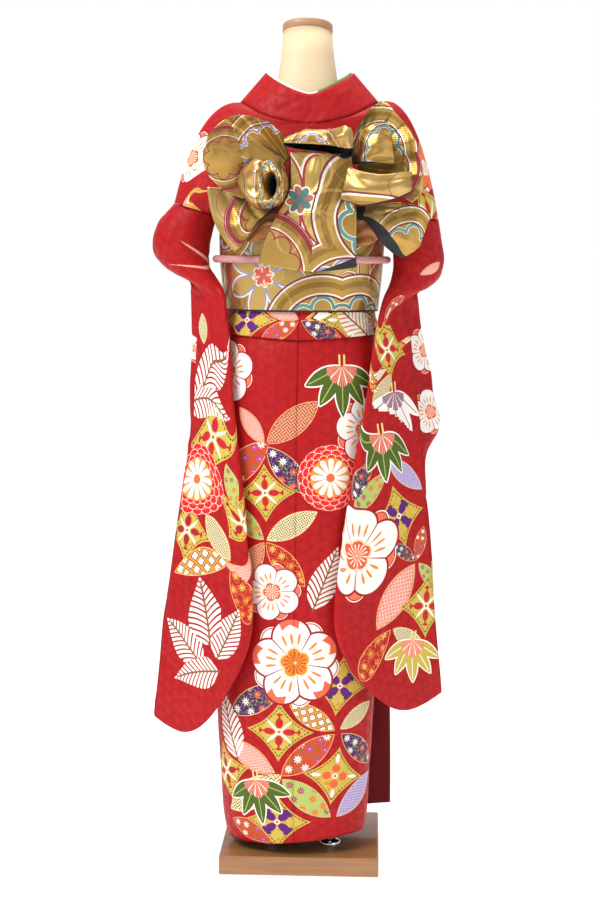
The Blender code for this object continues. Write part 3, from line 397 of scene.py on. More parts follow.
# Cloth pieces by slot, how they are held and what they rest on: flat width and length of each, in metres
SheetRow = namedtuple("SheetRow", "slot held rests_on wide long")
SHEETS = {
    name: SheetRow(*shared, *flat)
    for *shared, pieces in (
        ("silk", "hung", "torso_form", {
            "skirt_back_left": (0.24, 0.99), "skirt_back_right": (0.24, 0.99),
            "skirt_front_left": (0.22, 0.99), "skirt_front_right": (0.215, 0.98),
            "skirt_overlap_left": (0.14, 0.98), "skirt_overlap_right": (0.107, 0.99),
        }),
        ("silk", "folded", "torso_form", {
            "waist_fold_left": (0.4, 0.068), "waist_fold_right": (0.4, 0.068), "collar": (0.06, 0.89),
        }),
        ("silk", "draped", "torso_form", {"body_upper_left": (0.23, 0.76), "body_upper_right": (0.23, 0.76)}),
        ("trim", "folded", "collar", {"collar_trim_band": (0.021, 0.37)}),
        ("silk", "hung", "body_upper_left", {"sleeve_left": (0.34, 0.92)}),
        ("silk", "hung", "body_upper_right", {"sleeve_right": (0.34, 0.9)}),
        ("brocade", "stretched", "torso_form", {"obi_band": (0.157, 0.88)}),
        ("brocade", "folded", "bow_knot", {
            "bow_centre_panel": (0.137, 0.2), "bow_top_loop": (0.118, 0.14),
            "bow_wing_upper_left": (0.17, 0.11), "bow_wing_upper_right": (0.16, 0.1),
            "bow_rosette_left": (0.184, 0.09), "bow_middle_fold_right": (0.053, 0.1),
            "bow_wing_lower_left": (0.085, 0.115), "bow_wing_lower_right": (0.06, 0.15),
            "bow_loop_right": (0.047, 0.236),
            "bow_tuck_left": (0.038, 0.085), "bow_tuck_right": (0.038, 0.055),
        }),
    )
    for name, flat in pieces.items()
}

# Dyed motifs by pixel. Lenses: two ends and fill. Others: middle, half sizes in mm, turn and kind
SKIRT_MOTIFS = {
    "lens": (
        (228, 737, 277, 775, 0), (279, 777, 336, 733, 5), (288, 703, 336, 731, 3), (339, 730, 366, 706, 2, 0.8),
        (340, 733, 362, 752, 4, 0.62), (280, 778, 332, 818, 6), (335, 818, 362, 785, 7, 0.68),
        (230, 809, 277, 778, 2, 0.9), (232, 817, 258, 832, 5, 0.6), (230, 713, 275, 690, 4, 0.85),
        (239, 406, 265, 445, 0), (265, 445, 321, 400, 1), (222, 488, 265, 445, 5, 0.9), (265, 445, 310, 496, 4),
        (226, 500, 265, 541, 6), (265, 541, 319, 511, 2), (235, 590, 265, 541, 1), (265, 541, 306, 588, 8),
    ),
    "diamond": (
        (279, 732, 112, 98, -3, 0), (335, 776, 108, 96, -3, 2), (277, 822, 110, 96, -3, 1),
        (340, 686, 108, 98, -3, 1), (265, 493, 98, 92, 0, 0), (227, 770, 104, 96, 0, 3),
    ),
    "mum": ((330.5, 478, 60, 60, 0, 0),),
    "plum": (
        (295, 663, 84, 84, 8, 1), (272, 592, 54, 54, 20, 0), (352, 432, 60, 60, 10, 0, -0.45, 0),
        (240, 372, 60, 60, 0, 0, 0.5, 0),
    ),
    "bamboo": ((342, 366, 92, 92, 0, 0), (256, 780, 84, 84, 0, 0)),
    "pine": ((326, 578, 36, 60, -20, 0), (229, 722, 40, 66, 10, 0)),
}
LEFT_SLEEVE_MOTIFS = {
    "lens": (
        (205, 513, 231, 563, 2), (173, 573, 231, 563, 3), (231, 563, 250, 560, 0, 0.4), (231, 563, 251, 624, 8),
        (226, 462, 237, 510, 6), (160, 262, 176, 238, 0), (166, 222, 204, 203, 6), (196, 470, 176, 515, 2),
        (202, 312, 204, 345, 2),
    ),
    "diamond": ((213, 437, 140, 138, -24, 0), (243, 522, 104, 104, -18, 3), (187, 530, 104, 104, -12, 3)),
    "mum": ((197, 479, 70, 66, 0, 0),),
    "plum": ((168, 200, 44, 44, 0, 0),),
    "bamboo": (),
    "pine": (
        (211, 366, 58, 66, -58, 0), (209, 399, 48, 60, -98, 0), (206, 612, 56, 64, 8, 0),
        (229, 634, 42, 52, -35, 0), (184, 640, 44, 56, 50, 0), (196, 672, 42, 52, 100, 0),
    ),
    "behind": {"plum": ((194, 348, 26, 26, 0, 0),)},
}
RIGHT_SLEEVE_MOTIFS = {
    "lens": (
        (384, 325, 404, 295, 5), (372, 405, 392, 372, 2), (390, 385, 416, 335, 3), (388, 463, 423, 490, 7),
        (353, 506, 388, 470, 6), (392, 545, 416, 561, 4), (424, 525, 416, 561, 5), (416, 562, 376, 632, 0),
        (418, 562, 432, 580, 6, 0.6), (360, 680, 392, 628, 8), (392, 628, 428, 652, 2), (419, 275, 440, 262, 0),
        (424, 190, 432, 240, 6), (352, 500, 372, 455, 4),
    ),
    "diamond": ((387, 350, 88, 88, 15, 0), (399, 516, 104, 104, 25, 1), (426, 606, 104, 104, 0, 0)),
    "plum": ((357, 556, 86, 86, 0, 0), (421, 160, 48, 48, 0, 2), (428, 218, 40, 40, 0, 0)),
    "bamboo": ((381, 434, 88, 88, 10, 0), (394, 392, 84, 84, 8, 1), (413, 640, 80, 80, 0, 2)),
    "pine": (),
    "behind": {
        "plum": ((424, 350, 46, 46, 0, 0), (430, 412, 44, 44, 20, 0)),
        "lens": ((418, 300, 424, 330, 6),),
    },
}
WAIST_MOTIFS = {
    "lens": (
        (300, 320, 330, 336, 4, 0.66), (300, 320, 272, 335, 5, 0.66), (300, 320, 342, 298, 3),
        (258, 300, 300, 320, 0),
    ),
    "diamond": ((247, 320, 105, 90, 0, 1), (351, 320, 105, 90, 0, 2), (300, 355, 105, 90, 0, 0)),
    "plum": ((222, 326, 34, 34, 0, 2), (379, 324, 34, 34, 0, 0)),
    "pine": ((356, 324, 44, 56, 60, 0),),
}
BODY_MOTIFS = {
    "plum": ((192, 158, 56, 56, 20, 0), (425, 168, 44, 44, 0, 2), (232, 214, 40, 40, 0, 0)),
    "diamond": ((186, 206, 100, 100, 0, 2), (430, 218, 100, 100, 0, 0)),
    "lens": ((418, 140, 432, 190, 6), (205, 122, 188, 150, 8)),
}

# Woven figures by pixel, as the round motifs are; the last two numbers say where in the figure the pixel is
OBI_FIGURES = {
    "blossom": ((263, 276, 76, 76, 10, 0), (366, 290, 60, 60, 20, 1)),
    "arch": ((300, 295, 105, 105, 0, 0, -0.38, 0.69), (335, 300, 105, 105, 0, 0, -0.47, 0.6)),
}
BOW_FIGURES = {
    "bow_centre_panel": {
        "blossom": ((300, 200, 96, 96, 10, 1),),
        "arch": ((335, 205, 125, 125, 0, 0, -0.69, 0.28), (325, 255, 105, 105, 0, 1, -0.33, 0.74),
                 (285, 235, 85, 85, 0, 2, 0.41, 0.55)),
    },
    "bow_middle_fold_right": {
        "blossom": ((371, 166, 60, 60, 0, 2),),
        "arch": ((385, 135, 66, 66, 0, 0, 0, 0.4),),
    },
    "bow_wing_lower_right": {"arch": ((400, 232, 84, 84, 40, 0, 0.1, 0.55),)},
    "bow_wing_lower_left": {"arch": ((230, 228, 84, 84, 0, 2, -0.88, -0.3),)},
    "bow_loop_right": {"arch": ((378, 196, 130, 130, 0, 1, 0.1, 1.0),)},
    "bow_wing_upper_left": {"arch": ((224, 158, 56, 56, 0, 2), (254, 140, 76, 76, 0, 1, -0.3, 0.3))},
    "bow_wing_upper_right": {"arch": ((406, 168, 64, 64, 0, 2, 0.6, 0.05), (385, 112, 80, 80, 0, 0, 0.1, 0.9))},
    "bow_rosette_left": {"arch": ((269, 185, 60, 60, 0, 0),)},
    "bow_top_loop": {"blossom": ((322, 150, 60, 60, 0, 0),), "arch": ((312, 138, 56, 56, 0, 1, 0, 0.5),)},
}
# Where the bow's pieces turn to show the black reverse: root, end, side a, side b or corner, and cells of it
BLACK_EDGES = {
    "bow_centre_panel": "c7", "bow_wing_lower_left": "b2", "bow_wing_lower_right": "b8r9",
    "bow_loop_right": "b1", "bow_wing_upper_right": "a1", "bow_middle_fold_right": "b1", "bow_rosette_left": "e5",
}
CORNER_SLOPE = 3.0

# Dark heart of the bow: rounding of its block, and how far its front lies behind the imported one's
KNOT_ROUNDING = 7.0
KNOT_SINK = 3.0
KNOT_CUTS = 30

# Places inside or behind the sheets, that their outer faces look away from
SKIRT_INSIDE = (*GARMENT_AXIS, 500)
WAIST_INSIDE = (*GARMENT_AXIS, 1000)
OBI_INSIDE = (*GARMENT_AXIS, 1100)
BODY_INSIDE = (0, -38, 1200)
COLLAR_INSIDE = (0, NECK_AXIS_Y, 1330)
TRIM_INSIDE = (0, NECK_AXIS_Y, 1400)
BEHIND_BOW = (0, 2000, 1200)
BOW_HOLLOWS = {
    "bow_loop_right": (140, -208, 1240), "bow_top_loop": (30, -210, 1313), "bow_rosette_left": (-50, -150, 1240),
}
# Cloth between the starts of two pieces of the bow, so that no two have the same figures
BOW_CLOTH_STEP = 137.0

# Repeat of the woven figures: first figure, distance along a row and between rows, and the clear space round one
WEAVE_START = (30, 20)
WEAVE_PITCH = 120
WEAVE_ROW = 70
WEAVE_CLEAR = 105
WEAVE_SIZES = {"arch": 75.0, "blossom": 62.0}

# Creases of a cloth: first seed, how many, length, width and depth in mm, spread and lean in degrees, sharpness,
# and the run before the end of the cloth in which they fade. For skirt, sleeve and bow the depth is a share of the
# size in the panel.
Creases = namedtuple(
    "Creases", "seed count length width depth spread lean sharp calm", defaults=(0.0, 2.0, 0.0))
SKIRT_LONG_CREASES = Creases(0, 9, 420, 11, 1.0, spread=5.0, calm=90.0)
SKIRT_SHORT_CREASES = Creases(20, 8, 150, 7, 0.6, lean=60.0, spread=30.0, calm=90.0)
SLEEVE_LONG_CREASES = Creases(11, 26, 320, 12, 1.0, lean=4.0, spread=9.0)
SLEEVE_SHORT_CREASES = Creases(20, 18, 130, 8, 0.7, lean=70.0, spread=30.0)
BOW_CREASES = Creases(70, 16, 80, 6, 1.0, spread=13.0, sharp=1.3)
WAIST_CREASES = Creases(40, 16, 90, 5, 1.2, lean=80.0, spread=14.0, calm=30.0)
BODY_CREASES = Creases(50, 14, 120, 8, 1.3, lean=55.0, spread=25.0)
COLLAR_CREASES = Creases(60, 16, 70, 6, 0.9, lean=20.0, spread=30.0)
KNOT_CREASES = Creases(90, 40, 90, 6, 1.2, spread=25.0, sharp=1.3)
# Shares of the skirt's depth in front and of the bow's depth on its pleats
FRONT_CREASE_SHARE = 0.6
PLEAT_CREASE_SHARE = 0.5

# Height in mm of the shallow swells of pressed silk
SKIRT_RIPPLE = 0.7
WAIST_RIPPLE = 0.4
SLEEVE_RIPPLE = 0.9

# Creases of the collar that the photograph shows: two ends as pixels, half width and depth in mm
COLLAR_LINES = (
    (311, 92, 312, 124, 2.4, -1.6), (274, 111, 303, 99, 3.0, -1.6), (303, 122, 312, 111, 2.4, -1.2),
    (312, 111, 320, 121, 2.4, -1.2), (330, 98, 352, 90, 4.0, 1.2),
)
CREASE_SPANS = 8

# Pixels to each side over which the slope of the cloth is taken
AXIS_PIXELS = 5.0

# Steps of a rounded edge, and the angle in degrees up to which faces are shaded as one
ROUNDING_STEPS = 4
SMOOTH_BOX = 35
SMOOTH_NODE = 38

# White floor: width in metres and place
FLOOR_SIZE = 12.0
FLOOR_PLACE = (0, 2.0, -0.001)

# Materials by finish, filled by their makers
finishes = {}

# Node tree that node() adds to
making = None


def paint(code):
    """Linear colour of an sRGB hex value."""
    levels = [int(code[i:i + 2], 16) / 255 for i in (1, 3, 5)]
    return (*[part / 12.92 if part <= 0.04045 else ((part + 0.055) / 1.055) ** 2.4 for part in levels], 1.0)


def start_nodes(tree):
    """Empty a node tree that node() then fills."""
    global making
    making = tree
    making.nodes.clear()


def start_material(name):
    """Add a material that node() then fills."""
    finishes[name] = bpy.data.materials.new(name)
    finishes[name].use_nodes = True
    start_nodes(finishes[name].node_tree)


class Wire:
    """Output of a shader node; arithmetic on it adds Math nodes, and & and | join masks."""

    def __init__(self, socket):
        self.socket = socket

    def out(self, name):
        """Another output of the same node."""
        return Wire(self.socket.node.outputs[name])

    def __rsub__(self, other):
        return node("Math.SUBTRACT", other, self)

    def __abs__(self):
        return node("Math.ABSOLUTE", self)


def math_method(operation):
    """Method of a Wire that adds a Math node."""
    return lambda left, right: node("Math." + operation, left, right)


for sign, operation in (
    ("add", "ADD"), ("radd", "ADD"), ("sub", "SUBTRACT"), ("mul", "MULTIPLY"), ("rmul", "MULTIPLY"),
    ("truediv", "DIVIDE"), ("pow", "POWER"), ("lt", "LESS_THAN"), ("gt", "GREATER_THAN"),
    ("and", "MINIMUM"), ("or", "MAXIMUM"),
):
    setattr(Wire, "__" + sign + "__", math_method(operation))


def node(kind, *inputs, stops=None, sockets=None, **settings):
    """Add a shader node such as Math.ADD with its settings, inputs and named sockets; first output."""
    kind, _, operation = kind.partition(".")
    made = making.nodes.new("ShaderNode" + kind)
    if operation:
        setattr(made, "blend_type" if kind == "MixRGB" else "operation", operation)
    for key, value in settings.items():
        setattr(made, key, value)
    if stops:
        ramp = made.color_ramp
        ramp.interpolation = "CONSTANT"
        while len(ramp.elements) < len(stops):
            ramp.elements.new(1.0)
        for i, colour in enumerate(stops):
            ramp.elements[i].position = i / len(stops)
            ramp.elements[i].color = colour
    pairs = list(zip(made.inputs, inputs))
    pairs += [(made.inputs[key], value) for key, value in (sockets or {}).items()]
    for socket, value in pairs:
        if isinstance(value, Wire):
            making.links.new(value.socket, socket)
        elif value is not None:
            socket.default_value = value
    shown = [output for output in made.outputs if output.enabled]
    return Wire(shown[0]) if shown else None


def finish_material(colour, roughness, height=None, bump_mm=0.2, **more):
    """Close the material being made with one shader, from its colour, roughness and bump height."""
    sockets = {"Base Color": colour, "Roughness": roughness}
    sockets.update({key.replace("_", " "): value for key, value in more.items()})
    if height is not None:
        sockets["Normal"] = node("Bump", sockets={"Height": height, "Strength": 1.0, "Distance": bump_mm * MM})
    shader = node("BsdfPrincipled", sockets=sockets)
    node("OutputMaterial", shader)


def camera_frame():
    """Place of the camera, and its right, up and forward directions."""
    azimuth = radians(CAMERA_AZIMUTH)
    pitch = radians(CAMERA_PITCH)
    roll = radians(CAMERA_ROLL)
    yaw = azimuth + CAMERA_YAW_PIXELS / FOCAL_PIXELS
    place = Vector((CAMERA_DISTANCE * sin(azimuth), -CAMERA_DISTANCE * cos(azimuth), CAMERA_HEIGHT))
    level = Vector((-sin(yaw), cos(yaw), 0.0))
    right = Vector((level.y, -level.x, 0.0))
    forward = level * cos(pitch) - Vector((0, 0, sin(pitch)))
    up = right.cross(forward)
    turned_right = right * cos(roll) + up * sin(roll)
    turned_up = up * cos(roll) - right * sin(roll)
    return place, turned_right, turned_up, forward


EYE, EYE_RIGHT, EYE_UP, EYE_FORWARD = camera_frame()


def photo_ray(x, y):
    """Start and direction of the ray through a pixel of the photograph."""
    way = EYE_FORWARD + EYE_RIGHT * ((x - IMAGE_WIDTH / 2) / FOCAL_PIXELS)
    way = way - EYE_UP * ((y - IMAGE_HEIGHT / 2) / FOCAL_PIXELS)
    return EYE, way.normalized()


def parts(count):
    """Even shares from 0 to 1, with both ends."""
    return [i / count for i in range(count + 1)]


def row_at_height(rows, z):
    """Row of a ring table interpolated at height z."""
    for low, high in zip(rows, rows[1:]):
        if z <= high.z or high is rows[-1]:
            t = (z - low.z) / (high.z - low.z)
            return type(low)(*(a + (b - a) * t for a, b in zip(low, high)))


def catmull_rom(rows, at):
    """Row of numbers at position `at` on the smooth curve through the rows."""
    last = len(rows) - 1
    first = min(int(at), last - 1)
    t = at - first
    p1 = rows[first]
    p2 = rows[first + 1]
    p0 = rows[first - 1] if first > 0 else [2 * a - b for a, b in zip(p1, p2)]
    p3 = rows[first + 2] if first + 2 <= last else [2 * b - a for a, b in zip(p1, p2)]
    return [
        0.5 * (2 * b + (c - a) * t + (2 * a - 5 * b + 4 * c - d) * t ** 2 + (3 * b - a - 3 * c + d) * t ** 3)
        for a, b, c, d in zip(p0, p1, p2, p3)
    ]


def smooth_rows(rows, count):
    """Resample a table to `count` rows along the smooth curve through it."""
    kind = type(rows[0])
    return [kind(*catmull_rom(rows, (len(rows) - 1) * i / (count - 1))) for i in range(count)]


def ring_point(row, angle, inset=0.0, z=None):
    """Point of a rounded ring; angle 0 is the centre back and 90 the viewer's right side."""
    sine = sin(radians(angle))
    cosine = cos(radians(angle))
    across = copysign(abs(sine) ** SQUARENESS, sine)
    along = copysign(abs(cosine) ** SQUARENESS, cosine)
    return Vector((
        row.centre_x + (row.half_width - inset) * across,
        row.centre_y - (row.half_depth - inset) * along,
        row.z if z is None else z,
    ))


def smooth_weights(knots, places):
    """Weights that turn control points at the knots into points of a smooth curve at the places."""
    last = len(knots) - 1
    slopes = np.zeros((last + 1, last + 1))
    for i in range(last + 1):
        low = max(i - 1, 0)
        high = min(i + 1, last)
        if low == i or high == i:
            slopes[i, high] = 1 / (knots[high] - knots[low])
            slopes[i, low] = -slopes[i, high]
            continue
        before = knots[i] - knots[low]
        after = knots[high] - knots[i]
        slopes[i, high] = before / (after * (before + after))
        slopes[i, low] = -after / (before * (before + after))
        slopes[i, i] = (after - before) / (before * after)
    part = np.clip(np.searchsorted(knots, places, side="right") - 1, 0, last - 1)
    span = knots[part + 1] - knots[part]
    t = (places - knots[part]) / span
    weights = slopes[part] * (span * (t ** 3 - 2 * t ** 2 + t))[:, None]
    weights += slopes[part + 1] * (span * (t ** 3 - t ** 2))[:, None]
    order = np.arange(len(places))
    weights[order, part] += 2 * t ** 3 - 3 * t ** 2 + 1
    weights[order, part + 1] += 3 * t ** 2 - 2 * t ** 3
    return weights


def run_of(grid, axis):
    """Distance run along an axis of the grid up to each point."""
    steps = np.linalg.norm(np.diff(grid, axis=axis), axis=2)
    start = np.zeros_like(np.take(steps, [0], axis=axis))
    return np.concatenate([start, np.cumsum(steps, axis=axis)], axis=axis)


def straight_weights(knots, places):
    """Weights that join control points by straight lines, for sharp pleats."""
    return np.stack([np.interp(places, knots, unit) for unit in np.eye(len(knots))], axis=1)


def dense(rows, step, wrap=False, row_count=None, column_count=None, crisp=False):
    """Fine grid on the smooth surface through a coarse one; `wrap` says if all or which rows are closed."""
    grid = np.array([[tuple(point) for point in row] for row in rows], float)
    closed = np.broadcast_to(wrap, len(grid))[:, None, None]
    first = np.where(closed, grid[:, -2:-1], 2 * grid[:, :1] - grid[:, 1:2])
    last = np.where(closed, grid[:, 1:2], 2 * grid[:, -1:] - grid[:, -2:-1])
    knots = np.maximum.accumulate(run_of(grid, 1).mean(axis=0) + np.arange(grid.shape[1]) * 1e-6)
    outer = np.concatenate([[knots[0] - knots[1]], knots, [2 * knots[-1] - knots[-2]]])
    count = column_count or max(3, round(knots[-1] / step) + 1)
    weights = (straight_weights if crisp else smooth_weights)(outer, np.linspace(0, knots[-1], count))
    grid = np.einsum("pc,rck->rpk", weights, np.concatenate([first, grid, last], axis=1))
    knots = run_of(grid, 0).mean(axis=1) + np.arange(len(grid)) * 1e-6
    count = row_count or max(3, round(knots[-1] / step) + 1)
    weights = smooth_weights(knots, np.linspace(0, knots[-1], count))
    return np.einsum("pr,rck->pck", weights, grid)


def sheet_mesh(name, grid, across=None, behind=None, weld=False, close_bottom=False, along=None, black=""):
    """Mesh of a fine grid in mm, with its own UV map in metres: across the rows, and along them."""
    rows, columns = grid.shape[:2]
    index = np.arange(rows * columns).reshape(rows, columns)
    faces = np.stack([index[:-1, :-1], index[:-1, 1:], index[1:, 1:], index[1:, :-1]], axis=-1)
    faces = faces.reshape(-1, 4).tolist()
    if close_bottom:
        edge = index[-1].tolist()
        turn = (columns - 1) // 2
        faces += [(edge[c], edge[c + 1], edge[-c - 2], edge[-c - 1]) for c in range(turn - 1)]
        faces.append((edge[turn - 1], edge[turn], edge[turn + 1]))
    mesh = bpy.data.meshes.new(name)
    mesh.from_pydata((grid * MM).reshape(-1, 3).tolist(), [], faces)
    across = run_of(grid, 1) if across is None else across
    along = run_of(grid, 0) if along is None else along
    places = np.stack([across, along], axis=-1).reshape(-1, 2) * MM
    r, c = np.mgrid[:rows, :columns]
    swell = np.sin(pi * (0.1 + 1.05 * r / (rows - 1)))
    turned = np.zeros((rows, columns))
    for side, cells in zip(black[::2], black[1::2]):
        n = int(cells)
        inside = {"r": n - r, "e": n - (rows - 1 - r), "a": n * swell - c, "b": n * swell - (columns - 1 - c),
                  "c": n - (rows - 1 - r) - (columns - 1 - c) / CORNER_SLOPE}[side]
        turned = np.maximum(turned, np.clip(0.5 + inside / 2, 0, 1))
    if black:
        mark = mesh.attributes.new("turned", "FLOAT", "POINT")
        mark.data.foreach_set("value", turned.ravel().astype(np.float32))
    corners = np.empty(len(mesh.loops), np.int32)
    mesh.loops.foreach_get("vertex_index", corners)
    layer = mesh.uv_layers.new(name="cloth")
    layer.uv.foreach_set("vector", places[corners].astype(np.float32).ravel())
    if weld:
        shape = bmesh.new()
        shape.from_mesh(mesh)
        bmesh.ops.remove_doubles(shape, verts=shape.verts, dist=1e-5)
        shape.to_mesh(mesh)
        shape.free()
    mesh.update()
    if behind is None:
        facing = -sum(f.normal.y * f.area for f in mesh.polygons if f.center.y < SLEEVE_BACK_Y)
    else:
        back = Vector(behind) * MM
        facing = sum((f.center - back).dot(f.normal) * f.area for f in mesh.polygons)
    if facing < 0:
        mesh.flip_normals()
    mesh.shade_smooth()
    return mesh


def place_item(name, data):
    """Put a mesh, camera or light in the scene as an object, the only one selected."""
    item = bpy.data.objects.new(name, data)
    bpy.context.scene.collection.objects.link(item)
    bpy.ops.object.select_all(action="DESELECT")
    item.select_set(True)
    bpy.context.view_layer.objects.active = item
    return item


def stand_for(item, node_name):
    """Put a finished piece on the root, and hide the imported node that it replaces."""
    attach(item, "root")
    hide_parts(node_name)


def finish_cloth(node_name, mesh, outer, inner, thickness, rim=1):
    row = SHEETS[node_name]
    item = place_item(node_name + "_" + row.slot, mesh)
    mesh.materials.append(finishes[outer])
    mesh.materials.append(finishes[inner])
    wall = item.modifiers.new("cloth", "SOLIDIFY")
    wall.thickness = thickness * MM
    wall.offset = -1.0
    wall.material_offset = 1
    wall.material_offset_rim = rim
    bpy.ops.object.modifier_apply(modifier=wall.name)
    stand_for(item, node_name)


def finish_pieces(meshes, outer, inner, thickness):
    """Finish several sheets by name."""
    for name, mesh in meshes.items():
        finish_cloth(name, mesh, outer, inner, thickness)


def cloth_corners(mesh):
    """Place on the cloth of each face corner, in metres."""
    corners = np.empty(len(mesh.loops) * 2, np.float32)
    mesh.uv_layers[0].uv.foreach_get("vector", corners)
    return corners.reshape(-1, 2)


def mesh_arrays(mesh):
    """Places and normals of a mesh's points as arrays, in metres."""
    places = np.empty(len(mesh.vertices) * 3)
    mesh.vertices.foreach_get("co", places)
    normals = np.empty(len(mesh.vertices) * 3)
    mesh.vertices.foreach_get("normal", normals)
    return places.reshape(-1, 3), normals.reshape(-1, 3)


def push_out(mesh, push):
    """Move each point of a mesh along its normal, by its own distance in metres."""
    places, normals = mesh_arrays(mesh)
    mesh.vertices.foreach_set("co", (places + normals * push[:, None]).ravel())
    mesh.update()


def tree_of(mesh):
    """Ray tree of a mesh."""
    places, _ = mesh_arrays(mesh)
    return BVHTree.FromPolygons(places.tolist(), [tuple(face.vertices) for face in mesh.polygons])


def crease(mesh, lines):
    """Press creases into a sheet: each line has its two ends as pixels, its half width and its depth in mm."""
    tree = tree_of(mesh)
    places, _ = mesh_arrays(mesh)
    push = np.zeros(len(places))
    for x0, y0, x1, y1, width, depth in lines:
        path = []
        for t in parts(CREASE_SPANS):
            hit = tree.ray_cast(*photo_ray(x0 + (x1 - x0) * t, y0 + (y1 - y0) * t))[0]
            if hit is not None:
                path.append(np.array(hit))
        if len(path) < 2:
            continue
        near = np.full(len(places), 1.0)
        along = np.zeros(len(places))
        for i, (a, b) in enumerate(zip(path, path[1:])):
            way = b - a
            t = np.clip((places - a) @ way / max(way @ way, 1e-12), 0, 1)
            gap = np.linalg.norm(places - a - t[:, None] * way, axis=1)
            closer = gap < near
            near[closer] = gap[closer]
            along[closer] = ((i + t) / (len(path) - 1))[closer]
        swell = np.sqrt(np.clip(np.sin(np.pi * along), 0, 1))
        push += depth * MM * swell * np.exp(-(near / (width * MM)) ** 2)
    push_out(mesh, push)


def crumple(mesh, creases, step=0, depth=1.0, lean=1):
    """Press uneven creases into a sheet; `step` adds to the seed, and `depth` and `lean` are factors."""
    chance = np.random.default_rng(creases.seed + step)
    owners = np.empty(len(mesh.loops), np.int32)
    mesh.loops.foreach_get("vertex_index", owners)
    cloth = np.zeros((len(mesh.vertices), 2))
    cloth[owners] = cloth_corners(mesh) / MM
    low = cloth.min(axis=0)
    high = cloth.max(axis=0)
    push = np.zeros(len(cloth))
    for _ in range(creases.count):
        turn = radians(creases.lean * lean + chance.normal(0, creases.spread))
        half = creases.length * chance.uniform(0.4, 1.2) / 2
        away = cloth - chance.uniform(low, high)
        along = away @ (sin(turn), cos(turn)) / half
        across = away @ (cos(turn), -sin(turn)) + chance.normal(0, 0.06) * half * along ** 2
        across /= creases.width * chance.uniform(0.6, 1.5)
        size = creases.depth * depth * chance.uniform(0.35, 1.15) * chance.choice((-1, 1))
        push += size * np.exp(-np.abs(across) ** creases.sharp - along ** 4)
    if creases.calm:
        push *= np.clip((high[1] - cloth[:, 1]) / creases.calm, 0, 1)
    push_out(mesh, push * MM)


def ripple(mesh, height):
    """Uneven shallow swells all over a sheet, as pressed silk keeps them."""
    x, y, z = (mesh_arrays(mesh)[0] / MM).T
    swell = np.sin(x / 17 + 1.3 * np.sin(z / 61)) * np.sin(z / 83 + y / 29)
    swell += 0.6 * np.sin(z / 31 + x / 47 + 1.1 * np.sin(y / 23)) * np.sin(x / 26 - z / 97)
    push_out(mesh, swell * height * MM)


def cloth_hit(sheets, x, y):
    """Place on the cloth and in space, in mm, where a pixel's ray first meets one of the (mesh, tree) pairs."""
    best = None
    for mesh, tree in sheets:
        place, _, face, gap = tree.ray_cast(*photo_ray(x, y))
        if place is not None and (best is None or gap < best[0]):
            best = (gap, mesh, face, place)
    if best is None:
        return None
    _, mesh, face, place = best
    polygon = mesh.polygons[face]
    weights = poly_3d_calc([mesh.vertices[i].co for i in polygon.vertices], place)
    corners = [mesh.uv_layers[0].uv[i].vector * w for i, w in zip(polygon.loop_indices, weights)]
    return np.array(sum(corners, Vector((0, 0)))) / MM, np.array(place) / MM


def cloth_slopes(sheets, x, y):
    """How places in space and on the cloth change from pixel to pixel, rightwards and upwards."""
    middle = cloth_hit(sheets, x, y)
    if middle is None:
        return None
    slopes = []
    for dx, dy in ((AXIS_PIXELS, 0), (0, -AXIS_PIXELS)):
        ahead = cloth_hit(sheets, x + dx, y + dy) or middle
        behind = cloth_hit(sheets, x - dx, y - dy) or middle
        slopes.append([a - b for a, b in zip(ahead, behind)])
    (cloth_x, space_x), (cloth_y, space_y) = slopes
    if np.linalg.norm(np.cross(space_x, space_y)) < 1.0:
        return None
    return *middle, np.stack([cloth_x, cloth_y], axis=1), np.stack([space_x, space_y], axis=1)


def motif_row(middle, half_x, half_y, kind):
    """Motif from its middle and its half axes on the cloth."""
    (a, b), (c, d) = np.linalg.inv(np.stack([half_x, half_y], axis=1))
    return (*middle, a, b, c, d, kind)


def square_to(way, space):
    """Direction in a surface at right angles to another, anticlockwise from it."""
    facing = np.cross(space[:, 0], space[:, 1])
    side = np.cross(facing, way)
    return side / np.linalg.norm(side)


def round_motifs(sheets, rows):
    """Motifs from rows of x, y, half sizes, turn, kind and, where x, y isn't the middle, its place in the motif."""
    made = []
    for x, y, half_x, half_y, turn, kind, *at in rows:
        found = cloth_slopes(sheets, x, y)
        if found:
            middle, _, cloth, space = found
            way = space @ (cos(radians(turn)), sin(radians(turn)))
            way /= np.linalg.norm(way)
            onto = cloth @ np.linalg.pinv(space)
            right = onto @ way * half_x
            up = onto @ square_to(way, space) * half_y
            if at:
                middle = middle - right * at[0] - up * at[1]
            made.append(motif_row(middle, right, up, kind))
    return made


def lens_rows(sheets, rows):
    """Lens motifs from rows of two pixels, fill and, where the second isn't its end, its share of the length."""
    made = []
    for x0, y0, x1, y1, kind, *share in rows:
        start = cloth_hit(sheets, x0, y0)
        end = cloth_hit(sheets, x1, y1)
        found = cloth_slopes(sheets, (x0 + x1) / 2, (y0 + y1) / 2)
        if start and end and found:
            _, _, cloth, space = found
            scale = 0.5 / (share[0] if share else 1)
            half = (end[0] - start[0]) * scale
            way = end[1] - start[1]
            side = square_to(way, space) * np.linalg.norm(way) * scale
            made.append(motif_row(start[0] + half, half, cloth @ np.linalg.pinv(space) @ side, kind))
    return made


def lens_gap(x, y):
    """How far outside a lens a place lies."""
    return np.abs(y) + 1 - np.sqrt(np.clip(2 - x * x, 0, None)) + 9.0 * (np.abs(x) > 1.06)


